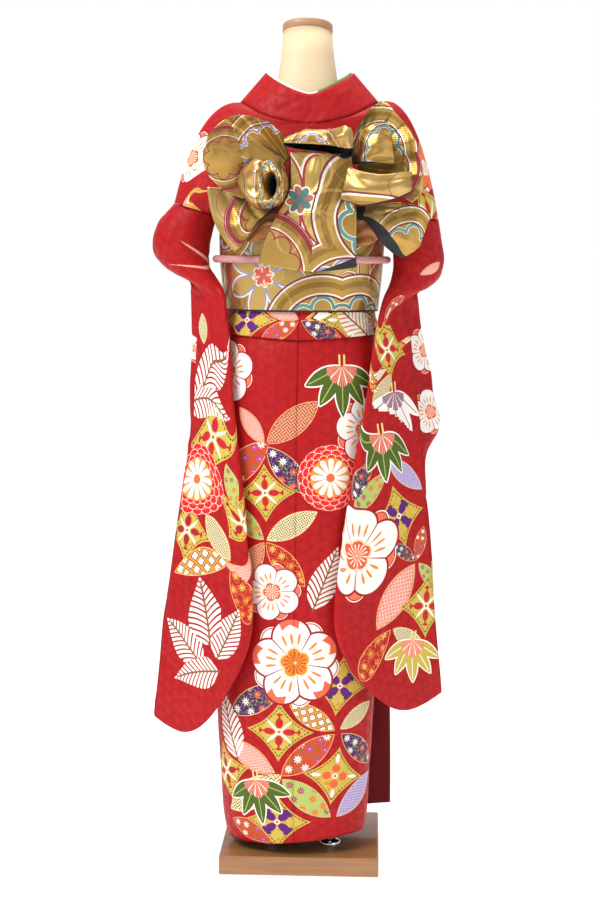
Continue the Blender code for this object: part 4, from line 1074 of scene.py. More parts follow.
LAYERS = {
    "lens": (lens_gap, 0.12),
    "diamond": (lambda x, y: np.abs(x) + np.abs(y), 1.1),
    "mum": (np.hypot, 1.1),
    "plum": (np.hypot, 1.1),
    "bamboo": (np.hypot, 1.12),
    "pine": (lambda x, y: np.maximum(np.abs(x) * 1.3, np.abs(y)), 1.15),
    "arch": (np.hypot, 1.1),
    "blossom": (np.hypot, 1.1),
}
SILK_LAYERS = ("lens", "diamond", "mum", "plum", "bamboo", "pine")
BROCADE_LAYERS = ("arch", "blossom")
FAR_AWAY = 9.0


def stamp(meshes, layers, mirrors=(), names=SILK_LAYERS, single=None):
    """Write on each face corner its place in the nearest motif of each layer, in the motif's half sizes."""
    for mesh in meshes:
        corners = cloth_corners(mesh).astype(float) * 1000.0
        totals = np.empty(len(mesh.polygons), np.int32)
        mesh.polygons.foreach_get("loop_total", totals)
        starts = np.concatenate([[0], np.cumsum(totals)[:-1]])
        centres = np.add.reduceat(corners, starts, axis=0) / totals[:, None]
        for layer in names:
            measure, limit = LAYERS[layer]
            own = layers.get(layer, ())
            motifs = list(own)
            for line in mirrors:
                motifs += [(2 * line - m[0], m[1], -m[2], m[3], -m[4], m[5], m[6]) for m in own]
            motifs += (single or {}).get(layer, ())
            chosen = np.full(len(centres), -1)
            best = np.full(len(centres), limit)
            for index, (u, v, right_u, right_v, up_u, up_v, _) in enumerate(motifs):
                away = centres - (u, v)
                gap = measure(away @ (right_u, right_v), away @ (up_u, up_v))
                closer = gap < best
                best[closer] = gap[closer]
                chosen[closer] = index
            values = np.tile((FAR_AWAY, FAR_AWAY, 0.0), (len(corners), 1))
            if motifs:
                table = np.array(motifs)
                owner = np.repeat(chosen, totals)
                held = owner >= 0
                row = table[owner[held]]
                away = corners[held] - row[:, :2]
                values[held, 0] = (away * row[:, 2:4]).sum(axis=1)
                values[held, 1] = (away * row[:, 4:6]).sum(axis=1)
                values[held, 2] = row[:, 6]
            made = mesh.attributes.new(layer, "FLOAT_VECTOR", "CORNER")
            made.data.foreach_set("vector", values.astype(np.float32).ravel())


def placed(sheets, table):
    """Motifs of each layer of a table."""
    layers = {layer: round_motifs(sheets, table.get(layer, ())) for layer in SILK_LAYERS[1:]}
    layers["lens"] = lens_rows(sheets, table.get("lens", ()))
    return layers


def dye(meshes, table, mirrors=()):
    """Place the motifs of one table on the cloth of some meshes that share a UV space."""
    sheets = [(mesh, tree_of(mesh)) for mesh in meshes]
    stamp(meshes, placed(sheets, table), mirrors, single=placed(sheets, table.get("behind", {})))


def weave(mesh, figures, rows=True):
    """Place the woven figures of a brocade piece: those of its table, then blossoms and arcs in rows."""
    sheets = [(mesh, tree_of(mesh))]
    layers = {layer: round_motifs(sheets, figures.get(layer, ())) for layer in BROCADE_LAYERS}
    corners = cloth_corners(mesh) / MM
    low = corners.min(axis=0)
    wide, high = corners.max(axis=0) - low
    taken = [Vector(row[:2]) for table in layers.values() for row in table]
    for row in range(int(high / WEAVE_ROW) + 1 if rows else 0):
        for column in range(int(wide / WEAVE_PITCH) + 1):
            shift = WEAVE_PITCH * (column + (row % 2) / 2)
            middle = Vector((low[0] + WEAVE_START[0] + shift, low[1] + WEAVE_START[1] + WEAVE_ROW * row))
            if all((middle - other).length > WEAVE_CLEAR for other in taken):
                layer = BROCADE_LAYERS[(row + column) % 2]
                scale = 1 / WEAVE_SIZES[layer]
                layers[layer].append((*middle, scale, 0, 0, scale, (row + column) % 3))
    stamp([mesh], layers, names=BROCADE_LAYERS)


def hem_height(x):
    """Height of the hem, which climbs a little to the viewer's right."""
    return HEM_Z + HEM_SLOPE * x


def skirt_point(angle, share, inset):
    """Point of the skirt at an angle, at a share of the way from the hem to the waist."""
    foot = ring_point(row_at_height(SKIRT_RINGS, HEM_Z), angle)
    low = hem_height(foot.x)
    z = low + (WAIST_FOLD_TOP - GAP - low) * share
    swing = sum(part * cos(radians(count * angle + phase)) for count, phase, part in SKIRT_WAVES)
    folds = SKIRT_FOLD_DEPTH * swing * (1.0 - min(1.0, share * SKIRT_FOLD_FADE)) ** 0.7
    return ring_point(row_at_height(SKIRT_RINGS, z), angle, inset - folds, z)


def skirt_shares():
    """Shares of the skirt's height where a row of points lies: the hem and each row of the ring table."""
    return [0.0] + [(row.z - HEM_Z) / (WAIST_FOLD_TOP - HEM_Z) for row in SKIRT_RINGS[1:]]


def skirt_rows(start, end, columns, under=0.0):
    """Rows of one skirt panel between two seam angles; an under layer sinks in after the side seam."""
    angles = [start + (end - start) * part for part in parts(columns)]
    insets = [under * min(1.0, max(0.0, (abs(angle) - SIDE_SEAM_ANGLE) / SINK_SPAN)) for angle in angles]
    return [
        [skirt_point(angle, share, inset) for angle, inset in zip(angles, insets)]
        for share in skirt_shares()
    ]


def seam_angle():
    """Half of the seam gap as an angle on the skirt."""
    return degrees(SEAM_GAP / 2 / SKIRT_RADIUS)


def overlap_rows():
    """Rows of the outer front's overlap panel, whose lower part leaves the form."""
    start = -(OVERLAP_SEAM_ANGLE + seam_angle())
    rows = []
    for share in skirt_shares():
        loose = max(0.0, 1.0 - (share / OVERLAP_HUG_SHARE) ** 2)
        root = skirt_point(start, share, 0.0)
        edge_z = hem_height(FREE_EDGE_X) * (1 - share) + (WAIST_FOLD_TOP - GAP) * share
        edge = Vector((FREE_EDGE_X, FREE_EDGE_Y, edge_z))
        row = []
        for part in parts(OVERLAP_COLUMNS):
            hugging = skirt_point(start + (start + OUTER_EDGE_ANGLE) * -part, share, 0.0)
            straight = root.lerp(edge, part)
            straight.y += OVERLAP_BELLY * sin(pi * part)
            row.append(hugging.lerp(straight, loose))
        rows.append(row)
    return rows


def dip_seams(grid):
    """Sink the two long edges of a panel into the seam that they share with the next."""
    axis = np.array((*GARMENT_AXIS, 0.0))
    for column in (0, -1):
        inward = axis - grid[:, column]
        inward[:, 2] = 0
        grid[:, column] += inward / np.linalg.norm(inward, axis=1)[:, None] * SEAM_DIP
    return grid


def skirt_meshes():
    """Fine meshes of the six skirt panels, their UV maps running on from panel to panel."""
    side = SIDE_SEAM_ANGLE
    lap = OVERLAP_SEAM_ANGLE
    chains = (
        (-1, (("skirt_back_left", skirt_rows(0, -side, 9)),
              ("skirt_front_left", skirt_rows(-side, -lap, 8)),
              ("skirt_overlap_left", overlap_rows()))),
        (1, (("skirt_back_right", skirt_rows(0, side, 9)),
             ("skirt_front_right", skirt_rows(side, lap, 8, UNDER_LAYER)),
             ("skirt_overlap_right", skirt_rows(lap, UNDER_EDGE_ANGLE, 5, UNDER_LAYER)))),
    )
    meshes = {}
    for sign, chain in chains:
        start = np.zeros((SKIRT_ROW_COUNT, 1))
        for name, rows in chain:
            grid = dip_seams(dense(rows, SKIRT_STEP, row_count=SKIRT_ROW_COUNT))
            across = run_of(grid, 1) + start
            start = across[:, -1:]
            meshes[name] = sheet_mesh(name, grid, across * sign, behind=SKIRT_INSIDE)
    return meshes


def waist_fold_rows(start, end):
    """Rows of half of the fold that hangs out below the obi."""
    rows = []
    for share, swell in WAIST_FOLD_SECTION:
        row = []
        for part in parts(WAIST_COLUMNS):
            angle = start + (end - start) * part
            low = WAIST_FOLD_BOTTOM + WAIST_FOLD_SIDE_RISE * abs(sin(radians(angle)))
            z = low + (WAIST_FOLD_TOP - low) * share
            stands_out = WAIST_FOLD_LIFT + FOLD_THICK + swell * (1 - share)
            row.append(ring_point(row_at_height(SKIRT_RINGS, z), angle, -stands_out, z))
        rows.append(row)
    return rows


def body_ring(z, angle, inset=0.0, lift=0.0):
    """Point of the cloth under the obi."""
    point = ring_point(row_at_height(OBI_RINGS, z), angle, OBI_THICK + LAYER_GAP + inset, z)
    point.z += lift
    return point


def arm_ring_point(row, angle, lift=0.0):
    """Point of a sleeve ring; angle 0 is outside, 90 the wearer's front and 180 the armpit."""
    cosine = cos(radians(angle))
    middle_x = (row.outer_x + row.inner_x) / 2
    middle_z = (row.outer_z + row.inner_z) / 2
    return Vector((
        middle_x + (row.outer_x - middle_x) * cosine,
        row.centre_y + row.half_depth * sin(radians(angle)),
        middle_z + (row.outer_z - middle_z) * cosine + lift,
    ))


def arc_row(start, middle, end, columns):
    """Points of the parabola through three points."""
    return [
        start * ((1 - t) * (1 - 2 * t)) + middle * (4 * t * (1 - t)) + end * (t * (2 * t - 1))
        for t in parts(columns)
    ]


def layer_of(index, side):
    """Depth by which a row of the right front sinks under the left front."""
    return 0.0 if side < 0 else FRONT_LAYER * min(1.0, max(0.0, (index - FRONT_STARTS) / 2.0))


def mirrored(x):
    """Place across on the other side of the neck's middle."""
    return 2 * NECK_CENTRE_X - x


def neckline():
    """Seam and top edge of the collar from the left front round the back to the right front."""
    path = [row[:6] for row in NECK_ROWS[::-1]]
    for index, row in enumerate(NECK_ROWS[1:], 1):
        layer = layer_of(index, 1)
        path.append((mirrored(row.x), row.y - layer, row.z, mirrored(row.top_x), row.top_y - layer, row.top_z))
    return [catmull_rom(path, i / NECK_STEPS) for i in range((len(path) - 1) * NECK_STEPS + 1)]


def upper_body_rows(side, arm):
    """Rows of an upper body panel from under the obi at the back over the shoulder to the front."""
    half = seam_angle()
    rise = arm.inner_z + ARMPIT_RISE - UPPER_BODY_RING_TOP
    heights = ((UPPER_BODY_BOTTOM, 0.0), (OBI_MIDDLE, 0.0), (UPPER_BODY_RING_TOP, rise))
    shares = parts(BODY_COLUMNS)
    rows = []
    for z, lift in heights:
        turns = [side * (half + (BACK_SIDE_ANGLE - half) * t) for t in shares]
        rows.append([body_ring(z, turn, lift=lift * t ** 2) for turn, t in zip(turns, shares)])
    for row in UPPER_BACK_ROWS:
        start = Vector((row.centre_x + side * CENTRE_GAP / 2, row.centre_y, row.centre_z))
        middle_x = row.middle_x if side < 0 else mirrored(row.middle_x)
        middle = Vector((middle_x, row.middle_y, row.middle_z))
        rows.append(arc_row(start, middle, arm_ring_point(arm, row.arm_angle), BODY_COLUMNS))
    edge = neckline()
    for i in range((len(NECK_ROWS) - 1) * NECK_STEPS + 1):
        values = edge[(len(edge) - 1) // 2 + side * i]
        seam = Vector(values[:3])
        away = (seam - Vector(values[3:])).normalized()
        if i == 0:
            seam.x += side * CENTRE_GAP / 2
        seam += away * COLLAR_GAP
        panel = PanelRow(*catmull_rom(SHOULDER_ROWS, i / NECK_STEPS))
        x, z = (panel.left_x, panel.left_z) if side < 0 else (panel.right_x, panel.right_z)
        middle = Vector((x, panel.y - layer_of(i / NECK_STEPS, side) / 2, z))
        arm_angle = catmull_rom([(row.arm_angle,) for row in NECK_ROWS], i / NECK_STEPS)[0]
        rows.append(arc_row(seam, middle, arm_ring_point(arm, arm_angle), BODY_COLUMNS))
    under = UNDER_FRONT_SINK if side > 0 else 0.0
    for (z, lift), reach in zip(heights[::-1], FRONT_REACHES):
        row = []
        for t in shares:
            sink = under * min(1.0, (1 - t) * 4)
            row.append(body_ring(z, side * (reach + (FRONT_SIDE_ANGLE - reach) * t), sink, lift * t ** 2))
        rows.append(row)
    return rows


def collar_rows(from_share, to_share, inset, cut_off=0):
    """Rows of a band along the neckline, between two shares of the collar's width, sunk inwards."""
    path = [(Vector(row[:3]), Vector(row[3:])) for row in neckline()]
    rows = []
    for i in range(cut_off, len(path) - cut_off):
        low, high = path[i]
        ahead = path[min(i + 1, len(path) - 1)][0]
        behind = path[max(i - 1, 0)][0]
        inward = (high - low).cross(ahead - behind).normalized()
        if inward.dot(Vector((NECK_CENTRE_X, NECK_AXIS_Y, low.z)) - low) < 0:
            inward.negate()
        middle = (from_share + to_share) / 2
        rows.append([low.lerp(high, share) + inward * inset for share in (from_share, middle, to_share)])
    return rows


def bag_row(row, share, columns):
    """Row of the hanging sleeve: half an oval from its far edge round the closed edge to the near edge."""
    far = Vector((row.far_x, row.far_y, row.outer_z))
    near = Vector((row.near_x, row.near_y, row.outer_z))
    closed = Vector((row.inner_x, row.inner_y, row.inner_z))
    middle = (far + near) / 2
    half_gap = (far - near) / 2
    along = (closed - middle).normalized()
    skew = along * half_gap.dot(along)
    half_gap -= skew
    points = []
    for part in parts(columns):
        turn = pi * part
        across = sin(turn)
        apart = copysign(abs(cos(turn)) ** CLOSED_EDGE_ROUNDING, cos(turn))
        point = middle + (closed - middle) * across + half_gap * apart + skew * cos(turn) ** 3
        point.z += row.sag * sin(pi * across)
        wave = sin(pi * (2.6 * across + 0.8 * share)) * sin(pi * across)
        point.y += SLEEVE_WAVE * wave * (1 - share)
        points.append(point)
    return points


def sleeve_mesh(name, arm, bag):
    """Fine mesh of a sleeve: gathered tube that opens into a long bag. UV 0 across is its closed edge."""
    columns = SLEEVE_COLUMNS
    rows = []
    for r, row in enumerate(arm):
        lift = -SEAM_GAP if r == 0 else 0.0
        rows.append([arm_ring_point(row, 360.0 * part, lift) for part in parts(columns)])
    rows += [bag_row(row, r / (len(bag) - 1), columns) for r, row in enumerate(bag)]
    wrap = [True] * len(arm) + [False] * len(bag)
    width = run_of(np.array([[tuple(point) for point in row] for row in rows]), 1)[:, -1].mean()
    count = 2 * round(width / SLEEVE_STEP / 2) + 1
    grid = dense(rows, SLEEVE_STEP, wrap, column_count=count)
    across = run_of(grid, 1)
    across -= across[:, (count - 1) // 2][:, None]
    return sheet_mesh(name, grid, across, weld=True, close_bottom=True)


def fan_rows(root, fan):
    """Rows of a pleated wing of the bow, from its root outwards."""
    rays = smooth_rows(fan, 2 * len(fan) - 1)
    centre = Vector(root)
    mean = sum(ray.depth for ray in rays) / len(rays)
    rows = []
    for share in parts(FAN_STEPS):
        row = []
        for ray in rays:
            radius = FAN_ROOT_RADIUS + (ray.reach - FAN_ROOT_RADIUS) * share
            turn = radians(ray.angle)
            depth = (mean - centre.y) * share + (ray.depth - mean) * share ** PLEAT_GROWTH
            row.append(centre + Vector((radius * cos(turn), depth, radius * sin(turn))))
        rows.append(row)
    return rows


def flap_rows(table, count, columns, dip=0.0):
    """Rows of a folded piece of the bow; `dip` lowers the middle of the last row."""
    rows = []
    for i, row in enumerate(smooth_rows(table, count)):
        a = Vector((row.a_x, row.a_y, row.a_z))
        b = Vector((row.b_x, row.b_y, row.b_z))
        points = []
        for part in parts(columns):
            point = a.lerp(b, part)
            point.y -= row.bulge * sin(pi * part) ** 2
            point.z -= dip * sin(pi * part) * max(0.0, 2 * i / (count - 1) - 1)
            points.append(point)
        rows.append(points)
    return rows


def top_loop_rows():
    """Rings of the twisted loop on top of the knot, open along its lower front, where the reverse shows."""
    rows = []
    for row in smooth_rows(TOP_LOOP, TOP_LOOP_RINGS):
        turns = [radians(TOP_LOOP_START + TOP_LOOP_TURN * part) for part in parts(TOP_LOOP_STEPS)]
        rows.append([
            (row.x, row.y + row.half_depth * cos(turn), row.z + row.half_height * sin(turn))
            for turn in turns
        ])
    return rows


def rosette_rows():
    """Rings of the loop with a dark hole that faces the viewer."""
    rows = []
    for share, depth in ROSETTE_ROWS:
        row = []
        for part in parts(ROSETTE_SPOKES):
            turn = 2 * pi * part
            twist = sin(3 * turn + 8 * share) + 0.6 * sin(5 * turn - 6 * share + 1)
            y = depth + ROSETTE_TWIST * twist * sin(pi * max(share, 0.0))
            ends = [
                Vector((centre[0] + half[0] * cos(turn), y, centre[1] + half[1] * sin(turn)))
                for centre, half in ((ROSETTE_HOLE_CENTRE, ROSETTE_HOLE_HALF), (ROSETTE_CENTRE, ROSETTE_HALF))
            ]
            row.append(ends[0].lerp(ends[1], share))
        rows.append(row)
    return rows


def cord_ring(place, side, lift, radius):
    """Ring of points round a place of a cord, in the plane of two directions."""
    turns = [2 * pi * part for part in parts(CORD_SIDES)]
    return [place + side * (radius * cos(turn)) + lift * (radius * sin(turn)) for turn in turns]


def knot_rows():
    """Rings of the cord's knot at the front: one strand tied through itself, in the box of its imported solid."""
    low, high = (Vector(corner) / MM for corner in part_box("obijime_knot"))
    middle = (low + high) / 2
    reach = (high - low) / 2 - Vector((1, 1, 1)) * KNOT_CORD_RADIUS
    path = []
    for i in range(KNOT_STEPS):
        turn = 2 * pi * i / KNOT_STEPS
        across = (sin(turn) + 2 * sin(2 * turn)) / 3
        upward = (cos(turn) - 2 * cos(2 * turn)) / 3
        path.append(middle + Vector((reach.x * across, -reach.y * sin(3 * turn), reach.z * upward)))
    rows = []
    for i, place in enumerate(path):
        way = (path[(i + 1) % KNOT_STEPS] - path[i - 1]).normalized()
        side = way.cross(Vector((0.3, 1, 0.2))).normalized()
        rows.append(cord_ring(place, side, side.cross(way), KNOT_CORD_RADIUS))
    return rows + rows[:1]


def cord_rows():
    """Rings of the cord round the obi, closed both ways."""
    ring = row_at_height(OBI_RINGS, CORD_Z)
    upwards = Vector((0, 0, 1))
    rows = []
    for part in parts(CORD_STEPS):
        angle = 360.0 * part
        centre, ahead = (ring_point(ring, at, -(CORD_RADIUS + GAP), CORD_Z) for at in (angle, angle + 0.5))
        out = (ahead - centre).normalized().cross(upwards)
        rows.append(cord_ring(centre, out, upwards, CORD_RADIUS))
    return rows


def cloth_place():
    """Place on the cloth in mm: across and along."""
    place = node("SeparateXYZ", node("UVMap", uv_map="cloth"))
    return place.out("X") * 1000.0, place.out("Y") * 1000.0


def motif_place(layer):
    """Place in the nearest motif of a layer, in its half sizes, and its kind number."""
    place = node("SeparateXYZ", node("Attribute", attribute_name=layer).out("Vector"))
    return place.out("X"), place.out("Y"), place.out("Z")


def polar_place(layer):
    """As motif_place, and then the distance and the angle from the motif's middle."""
    x, y, kind = motif_place(layer)
    return x, y, kind, radius_of(x, y), node("Math.ARCTAN2", x, y)


def palette(kind, colours):
    """Colour of a list by kind number."""
    return node("ValToRGB", (kind + 0.5) / len(colours), stops=[paint(colour) for colour in colours])


def over(below, *layers):
    """Lay colours one on another, each where its mask is 1; `layers` are masks and colours in turn."""
    below, *colours = (paint(part) if isinstance(part, str) else part for part in (below, *layers[1::2]))
    for mask, colour in zip(layers[::2], colours):
        below = node("MixRGB.MIX", mask, below, colour)
    return below


def noise(place, scale, detail=1.0):
    """Soft noise between 0 and 1."""
    return node("TexNoise", place, sockets={"Scale": scale, "Detail": detail})


def near(value, middle, half):
    """Mask of a line where a value is within `half` of `middle`."""
    return node("Math.COMPARE", value, middle, half)


def fold(value, span):
    """Value folded to -span/2 .. span/2."""
    return node("Math.WRAP", value, -span / 2, span / 2)


def radius_of(x, y):
    """Distance from the middle."""
    return (x * x + y * y) ** 0.5


def flower(radius, angle, petals, ring, petal):
    """Distance to the middle of the nearest of some round petals on a ring, less the petal's size."""
    turn = fold(angle, 2 * pi / petals)
    gap = radius * radius + ring * ring - radius * node("Math.COSINE", turn) * (2 * ring)
    return gap ** 0.5 - petal


# Fills of the lenses by kind number: ground, pattern, and the colours that aren't the ground's
LENS_HALF = 65.0
LensFill = namedtuple("LensFill", "ground pattern line petal heart sprig rim", defaults=(None,) * 5)
LENS_FILLS = (
    LensFill("#E98F80", "grid", line="#F8CFC0", rim="#E8725A"),
    LensFill("#B9473A", "basket", line="#E9B98A"),
    LensFill("#F3E3B4", "basket", line="#6A4A22", rim="#EFDCA6"),
    LensFill("#E8963A", "lattice"),
    LensFill("#54205E", "flowers", petal="#F6F1EA", heart="#EE6A3C", sprig="#8C9A4A"),
    LensFill("#D2452B", "flowers", petal="#FAF2EE", heart="#B04A9A", sprig="#5E7A34"),
    LensFill("#A9C56C", "flowers", petal="#A62A6A", heart="#E8622E", sprig="#E0B04A"),
    LensFill("#C9B6DC", "grid", line="#8F7FAE"),
    LensFill("#B8161F", "flowers", petal="#E6B35A", heart="#D98A3A", sprig="#D98A3A"),
)


def fill_colour(kind, part):
    """Colour of one part of a lens's fill."""
    return palette(kind, [getattr(fill, part) or fill.ground for fill in LENS_FILLS])


def fill_has(kind, pattern):
    """Mask of the lenses whose fill has a pattern."""
    return palette(kind, ["#FFFFFF" if fill.pattern == pattern else "#000000" for fill in LENS_FILLS])


def lens_motifs(colour):
    """Pointed ovals of the interlocking circles, each with one of the small fills."""
    x, y, kind = motif_place("lens")
    edge = (2.0 - x * x) ** 0.5 - 1.0 - abs(y)
    p = x * LENS_HALF
    q = y * LENS_HALF
    place = node("CombineXYZ", p, q, kind * 37.0)
    cells = node("TexVoronoi", place, voronoi_dimensions="2D", sockets={"Scale": 0.043, "Randomness": 0.5})
    away = node("SeparateXYZ", node("VectorMath.SUBTRACT", place, cells.out("Position")))
    angle = node("Math.ARCTAN2", away.out("X"), away.out("Y"))
    radius = radius_of(away.out("X"), away.out("Y"))
    star = radius - 5.6 - node("Math.COSINE", angle * 8.0) * 2.4
    pick = node("SeparateXYZ", cells.out("Color")).out("X") > 0.5
    bloom = over(fill_colour(kind, "petal"), pick, fill_colour(kind, "heart"))
    draw = fill_has(kind, "flowers")
    line = fill_colour(kind, "line")
    square = abs(fold(p + q, 24.0)) | abs(fold(p - q, 24.0))
    odd = abs(fold(node("Math.FLOOR", p / 9.0) + node("Math.FLOOR", q / 9.0), 2.0)) > 0.5
    basket = (odd & (abs(fold(p, 4.5)) < 0.9)) | ((1.0 - odd) & (abs(fold(q, 4.5)) < 0.9))
    grid = (abs(fold(p + q, 8.0)) < 0.8) | (abs(fold(p - q, 8.0)) < 0.8)
    ground = over(
        fill_colour(kind, "ground"),
        near(noise(place, 0.12), 0.5, 0.022) & draw, fill_colour(kind, "sprig"),
        (star < 0.0) & draw, bloom,
        (radius < 1.6) & draw, "#F2B04A",
        fill_has(kind, "lattice"), over("#E8963A", square < 9.4, "#5E2A10", square < 7.4, "#FBF4E6"),
        basket & fill_has(kind, "basket"), line,
        grid & fill_has(kind, "grid"), line,
        edge + (noise(place, 0.3) - 0.5) * 0.25 < 0.09, fill_colour(kind, "rim"),
        edge < 0.07, "#E9C27C",
    )
    return over(colour, edge > 0.05, ground)


def oval(x, y, at, long, wide):
    """Mask of an oval on the x axis."""
    return ((x - at) / long) ** 2.0 + (y / wide) ** 2.0 < 1.0


def diamond_motifs(colour):
    """Hollow-sided diamonds between the circles: gold ground, dashed inner line and a four-petal flower."""
    x, y, kind, radius, angle = polar_place("diamond")
    wide = abs(x)
    high = abs(y)
    edge = ((wide - 1.0) ** 2.0 + (high - 1.0) ** 2.0) ** 0.5 - 1.0
    inside = (edge > 0.09) & (wide + high < 1.0)
    scrolls = noise(node("CombineXYZ", x, y, kind), 7.0)
    dash = node("Math.SINE", (wide - high) * 70.0) > -0.5
    along = wide | high
    across = wide & high
    slant = abs(wide - high) * 0.7071
    ray = (wide + high) * 0.7071
    petal = palette(kind, ("#C2202B", "#5F1F73", "#E8623C", "#A81C2E"))
    fleur = oval(along, across, 0.165, 0.095, 0.062) | oval(along, across, 0.29, 0.07, 0.018)
    fleur = fleur | oval(along, across, 0.325, 0.022, 0.058)
    leaves = oval(ray, slant, 0.16, 0.11, 0.075) | oval(ray, slant, 0.25, 0.045, 0.1)
    outer = near(abs(kind - 1.5), 1.5, 0.4)
    second = near(kind, 1.0, 0.4)
    third = near(kind, 2.0, 0.4)
    ground = over(
        "#CFB650",
        near(scrolls, 0.5, 0.018), palette(kind, ("#BCA23E", "#D88A34")),
        near(edge, 0.125, 0.009) & dash, "#5E3A1A",
        fleur & outer, petal,
        (slant < 0.02 - ray * 0.05) & (ray < 0.3) & outer, "#F7F2EA",
        oval(slant, ray - 0.16, 0.0, 0.022, 0.12) & outer, "#F7F2EA",
        leaves & second, petal,
        (flower(radius, angle, 4, 0.15, 0.078) < 0.0) & third, petal,
        oval(along, across, 0.34, 0.085, 0.032) & third, "#F4EEF0",
        radius < 0.05, "#F7F2EA",
        radius < 0.028, "#E2652C",
    )
    return over(colour, inside, ground)


def chrysanthemum_motifs(colour):
    """Chrysanthemums: white petals round an orange heart, in three rows of red scales."""
    _, _, _, radius, angle = polar_place("mum")
    row = node("Math.FLOOR", (radius - 0.58) / 0.14)
    part = (radius - 0.58) / 0.14 - row
    turn = fold(angle * (16 / (2 * pi)) + row * 0.5, 1.0)
    arch = (1.0 - turn * turn * 4.0) ** 0.5
    rim = near(part, arch * 0.88, 0.08) | (abs(turn) > 0.475)
    petal = abs(fold(angle, 2 * pi / 12))
    white = over("#F6F1EA", petal > 0.2 * (1.35 - radius), "#E8963A")
    ground = over(
        "#E8202A",
        rim, "#F3DDBE",
        radius < 0.6, "#E8963A",
        radius < 0.58 - petal * petal * 2.4, white,
        radius < 0.13, "#EF6F35",
    )
    return over(colour, radius < 0.98, ground)


def plum_motifs(colour):
    """Plum blossoms: five round white petals with orange stamens, a coral heart and coral back petals."""
    _, _, kind, radius, angle = polar_place("plum")
    turn = fold(angle, 2 * pi / 5)
    back = flower(radius, angle + pi / 5, 5, 0.68, 0.24)
    petal = flower(radius, angle, 5, 0.55, 0.4)
    inside = petal < 0.0
    drops = oval(radius, fold(turn, 0.3), 0.52, 0.13, 0.05) & (abs(turn) < 0.45)
    heart = flower(radius, angle, 5, 0.17, 0.14)
    spokes = (node("Math.SINE", angle * 15.0) > 0.4) & (radius < 0.24) & (radius > 0.05)
    return over(
        colour,
        back < 0.045, "#FBF4E6",
        back < 0.022, "#A3141F",
        back < 0.0, palette(kind, ("#EF7350", "#F6F1EA", "#F6F1EA")),
        petal < 0.045, "#A3141F",
        inside, palette(kind, ("#F6F1EA", "#F6F1EA", "#EF7350")),
        inside & (radius > 0.84 - abs(turn) * 0.4) & near(kind, 1.0, 0.4) & (abs(turn) < 0.24), "#EE6A4C",
        inside & (abs(turn) > pi / 5 - 0.022) & (radius > 0.2), "#A3141F",
        drops, "#E8892E",
        heart < 0.035, "#F6D9A8",
        heart < 0.0, palette(kind, ("#EE5A3C", "#E88A2C", "#F6F1EA")),
        spokes, palette(kind, ("#FBF0D8", "#C2452B", "#E8892E")),
    )


def bamboo_motifs(colour):
    """Bamboo leaves that hang from short gold stems, each with a striped sheath at its root."""
    x, y, kind = motif_place("bamboo")
    radius = radius_of(x, y)
    angle = node("Math.ARCTAN2", x, y * -1.0)
    spread = 0.54
    steps = (node("Math.ROUND", angle / spread) & 2.0) | -2.0
    turn = angle - steps * spread
    along = radius * node("Math.COSINE", turn) * (1.0 + abs(steps) * 0.1)
    across = abs(radius * node("Math.SINE", turn))
    width = along * (1.0 - along) * 0.6
    there = (along > 0.02) & (along < 1.0)
    leaf = there & (across < width - 0.008)
    sheath = leaf & (along < 0.42 - across * 0.6)
    return over(
        colour,
        there & (across < width + 0.022), "#FBF6EA",
        near(abs(x), 0.05, 0.02) & near(y, 0.1, 0.12), "#E9D48A",
        leaf, palette(kind, ("#4E6420", "#F4EDE4", "#C9B04A")),
        there & (across < 0.011) & (along < 0.9), palette(kind, ("#A9B860", "#7B3A8C", "#FBF6EA")),
        sheath, palette(kind, ("#D23A2A", "#6B2473", "#E8623C")),
        sheath & (abs(fold(turn, 0.11)) < 0.014), "#F6D9B8",
        sheath & (abs(turn) > 0.235) & (abs(angle) < 1.3), "#FBF6EA",
    )


def pine_motifs(colour):
    """Pine sprays: white needles that sweep off a brown twig."""
    x, y, _ = motif_place("pine")
    wide = abs(x)
    share = (y + 1.0) * 0.5
    shape = node("Math.SINE", (share | 0.001) ** 0.7 * pi) * 0.72
    needles = node("Math.SINE", (y - wide * 0.75 + wide * wide * 0.3) * 36.0) > -0.45
    return over(
        colour,
        (wide < shape) & (abs(y) < 1.0) & needles, "#F5EFE4",
        (wide < 0.04) & (y < 0.8) & (y > -1.12), "#8A5A2C",
    )


def make_silk(sizes):
    """Figured silk, woven with a tone-on-tone damask and then dyed: satin sheen, with duller facets; the facets'
    sheen is also painted into the red.
    """
    start_material("red figured silk")
    across, along = cloth_place()
    drift = noise(node("CombineXYZ", across, along, 0.0), 0.06)
    pitch = 2 * pi / 1000 / sizes.facet
    facets = 0.0
    for turn, share in ((0, 7.0), (60, -9.0), (120, 11.0)):
        turn = radians(turn)
        wave = (across * cos(turn) + along * sin(turn)) * pitch + drift * share
        facets = node("Math.SINE", wave) + facets
    shine = node("MapRange", facets, -0.9, 0.9, 0.0, 1.0)
    place = node("TexCoord").out("Object")
    # Painted sheen: the lit red where the damask's facets shine and the shaded red where they are dull, mixed with
    # soft random patches of tone.
    colour = over(sizes.silk_shade[:], shine * 0.35 + noise(place, 9.0, 2.0) * 0.6, sizes.silk_lit[:])
    for lay in (lens_motifs, diamond_motifs, chrysanthemum_motifs, pine_motifs, plum_motifs, bamboo_motifs):
        colour = lay(colour)
    rough = node("MapRange", shine, 0.0, 1.0, 0.62, 0.5)
    crepe = noise(place, 1400.0)
    finish_material(colour, rough, shine * 0.3 + crepe * 0.3, 0.04, Specular_IOR_Level=0.22)


def make_plain(name, colour, roughness, grain_mm, bump_mm, **more):
    """Plain finish with a fine grain in colour and surface."""
    start_material(name)
    grain = noise(node("TexCoord").out("Object"), 1.0 / (grain_mm * MM), 3.0)
    dark = tuple(part * 0.86 for part in paint(colour)[:3]) + (1.0,)
    finish_material(over(dark, grain, colour), roughness, grain, bump_mm, **more)


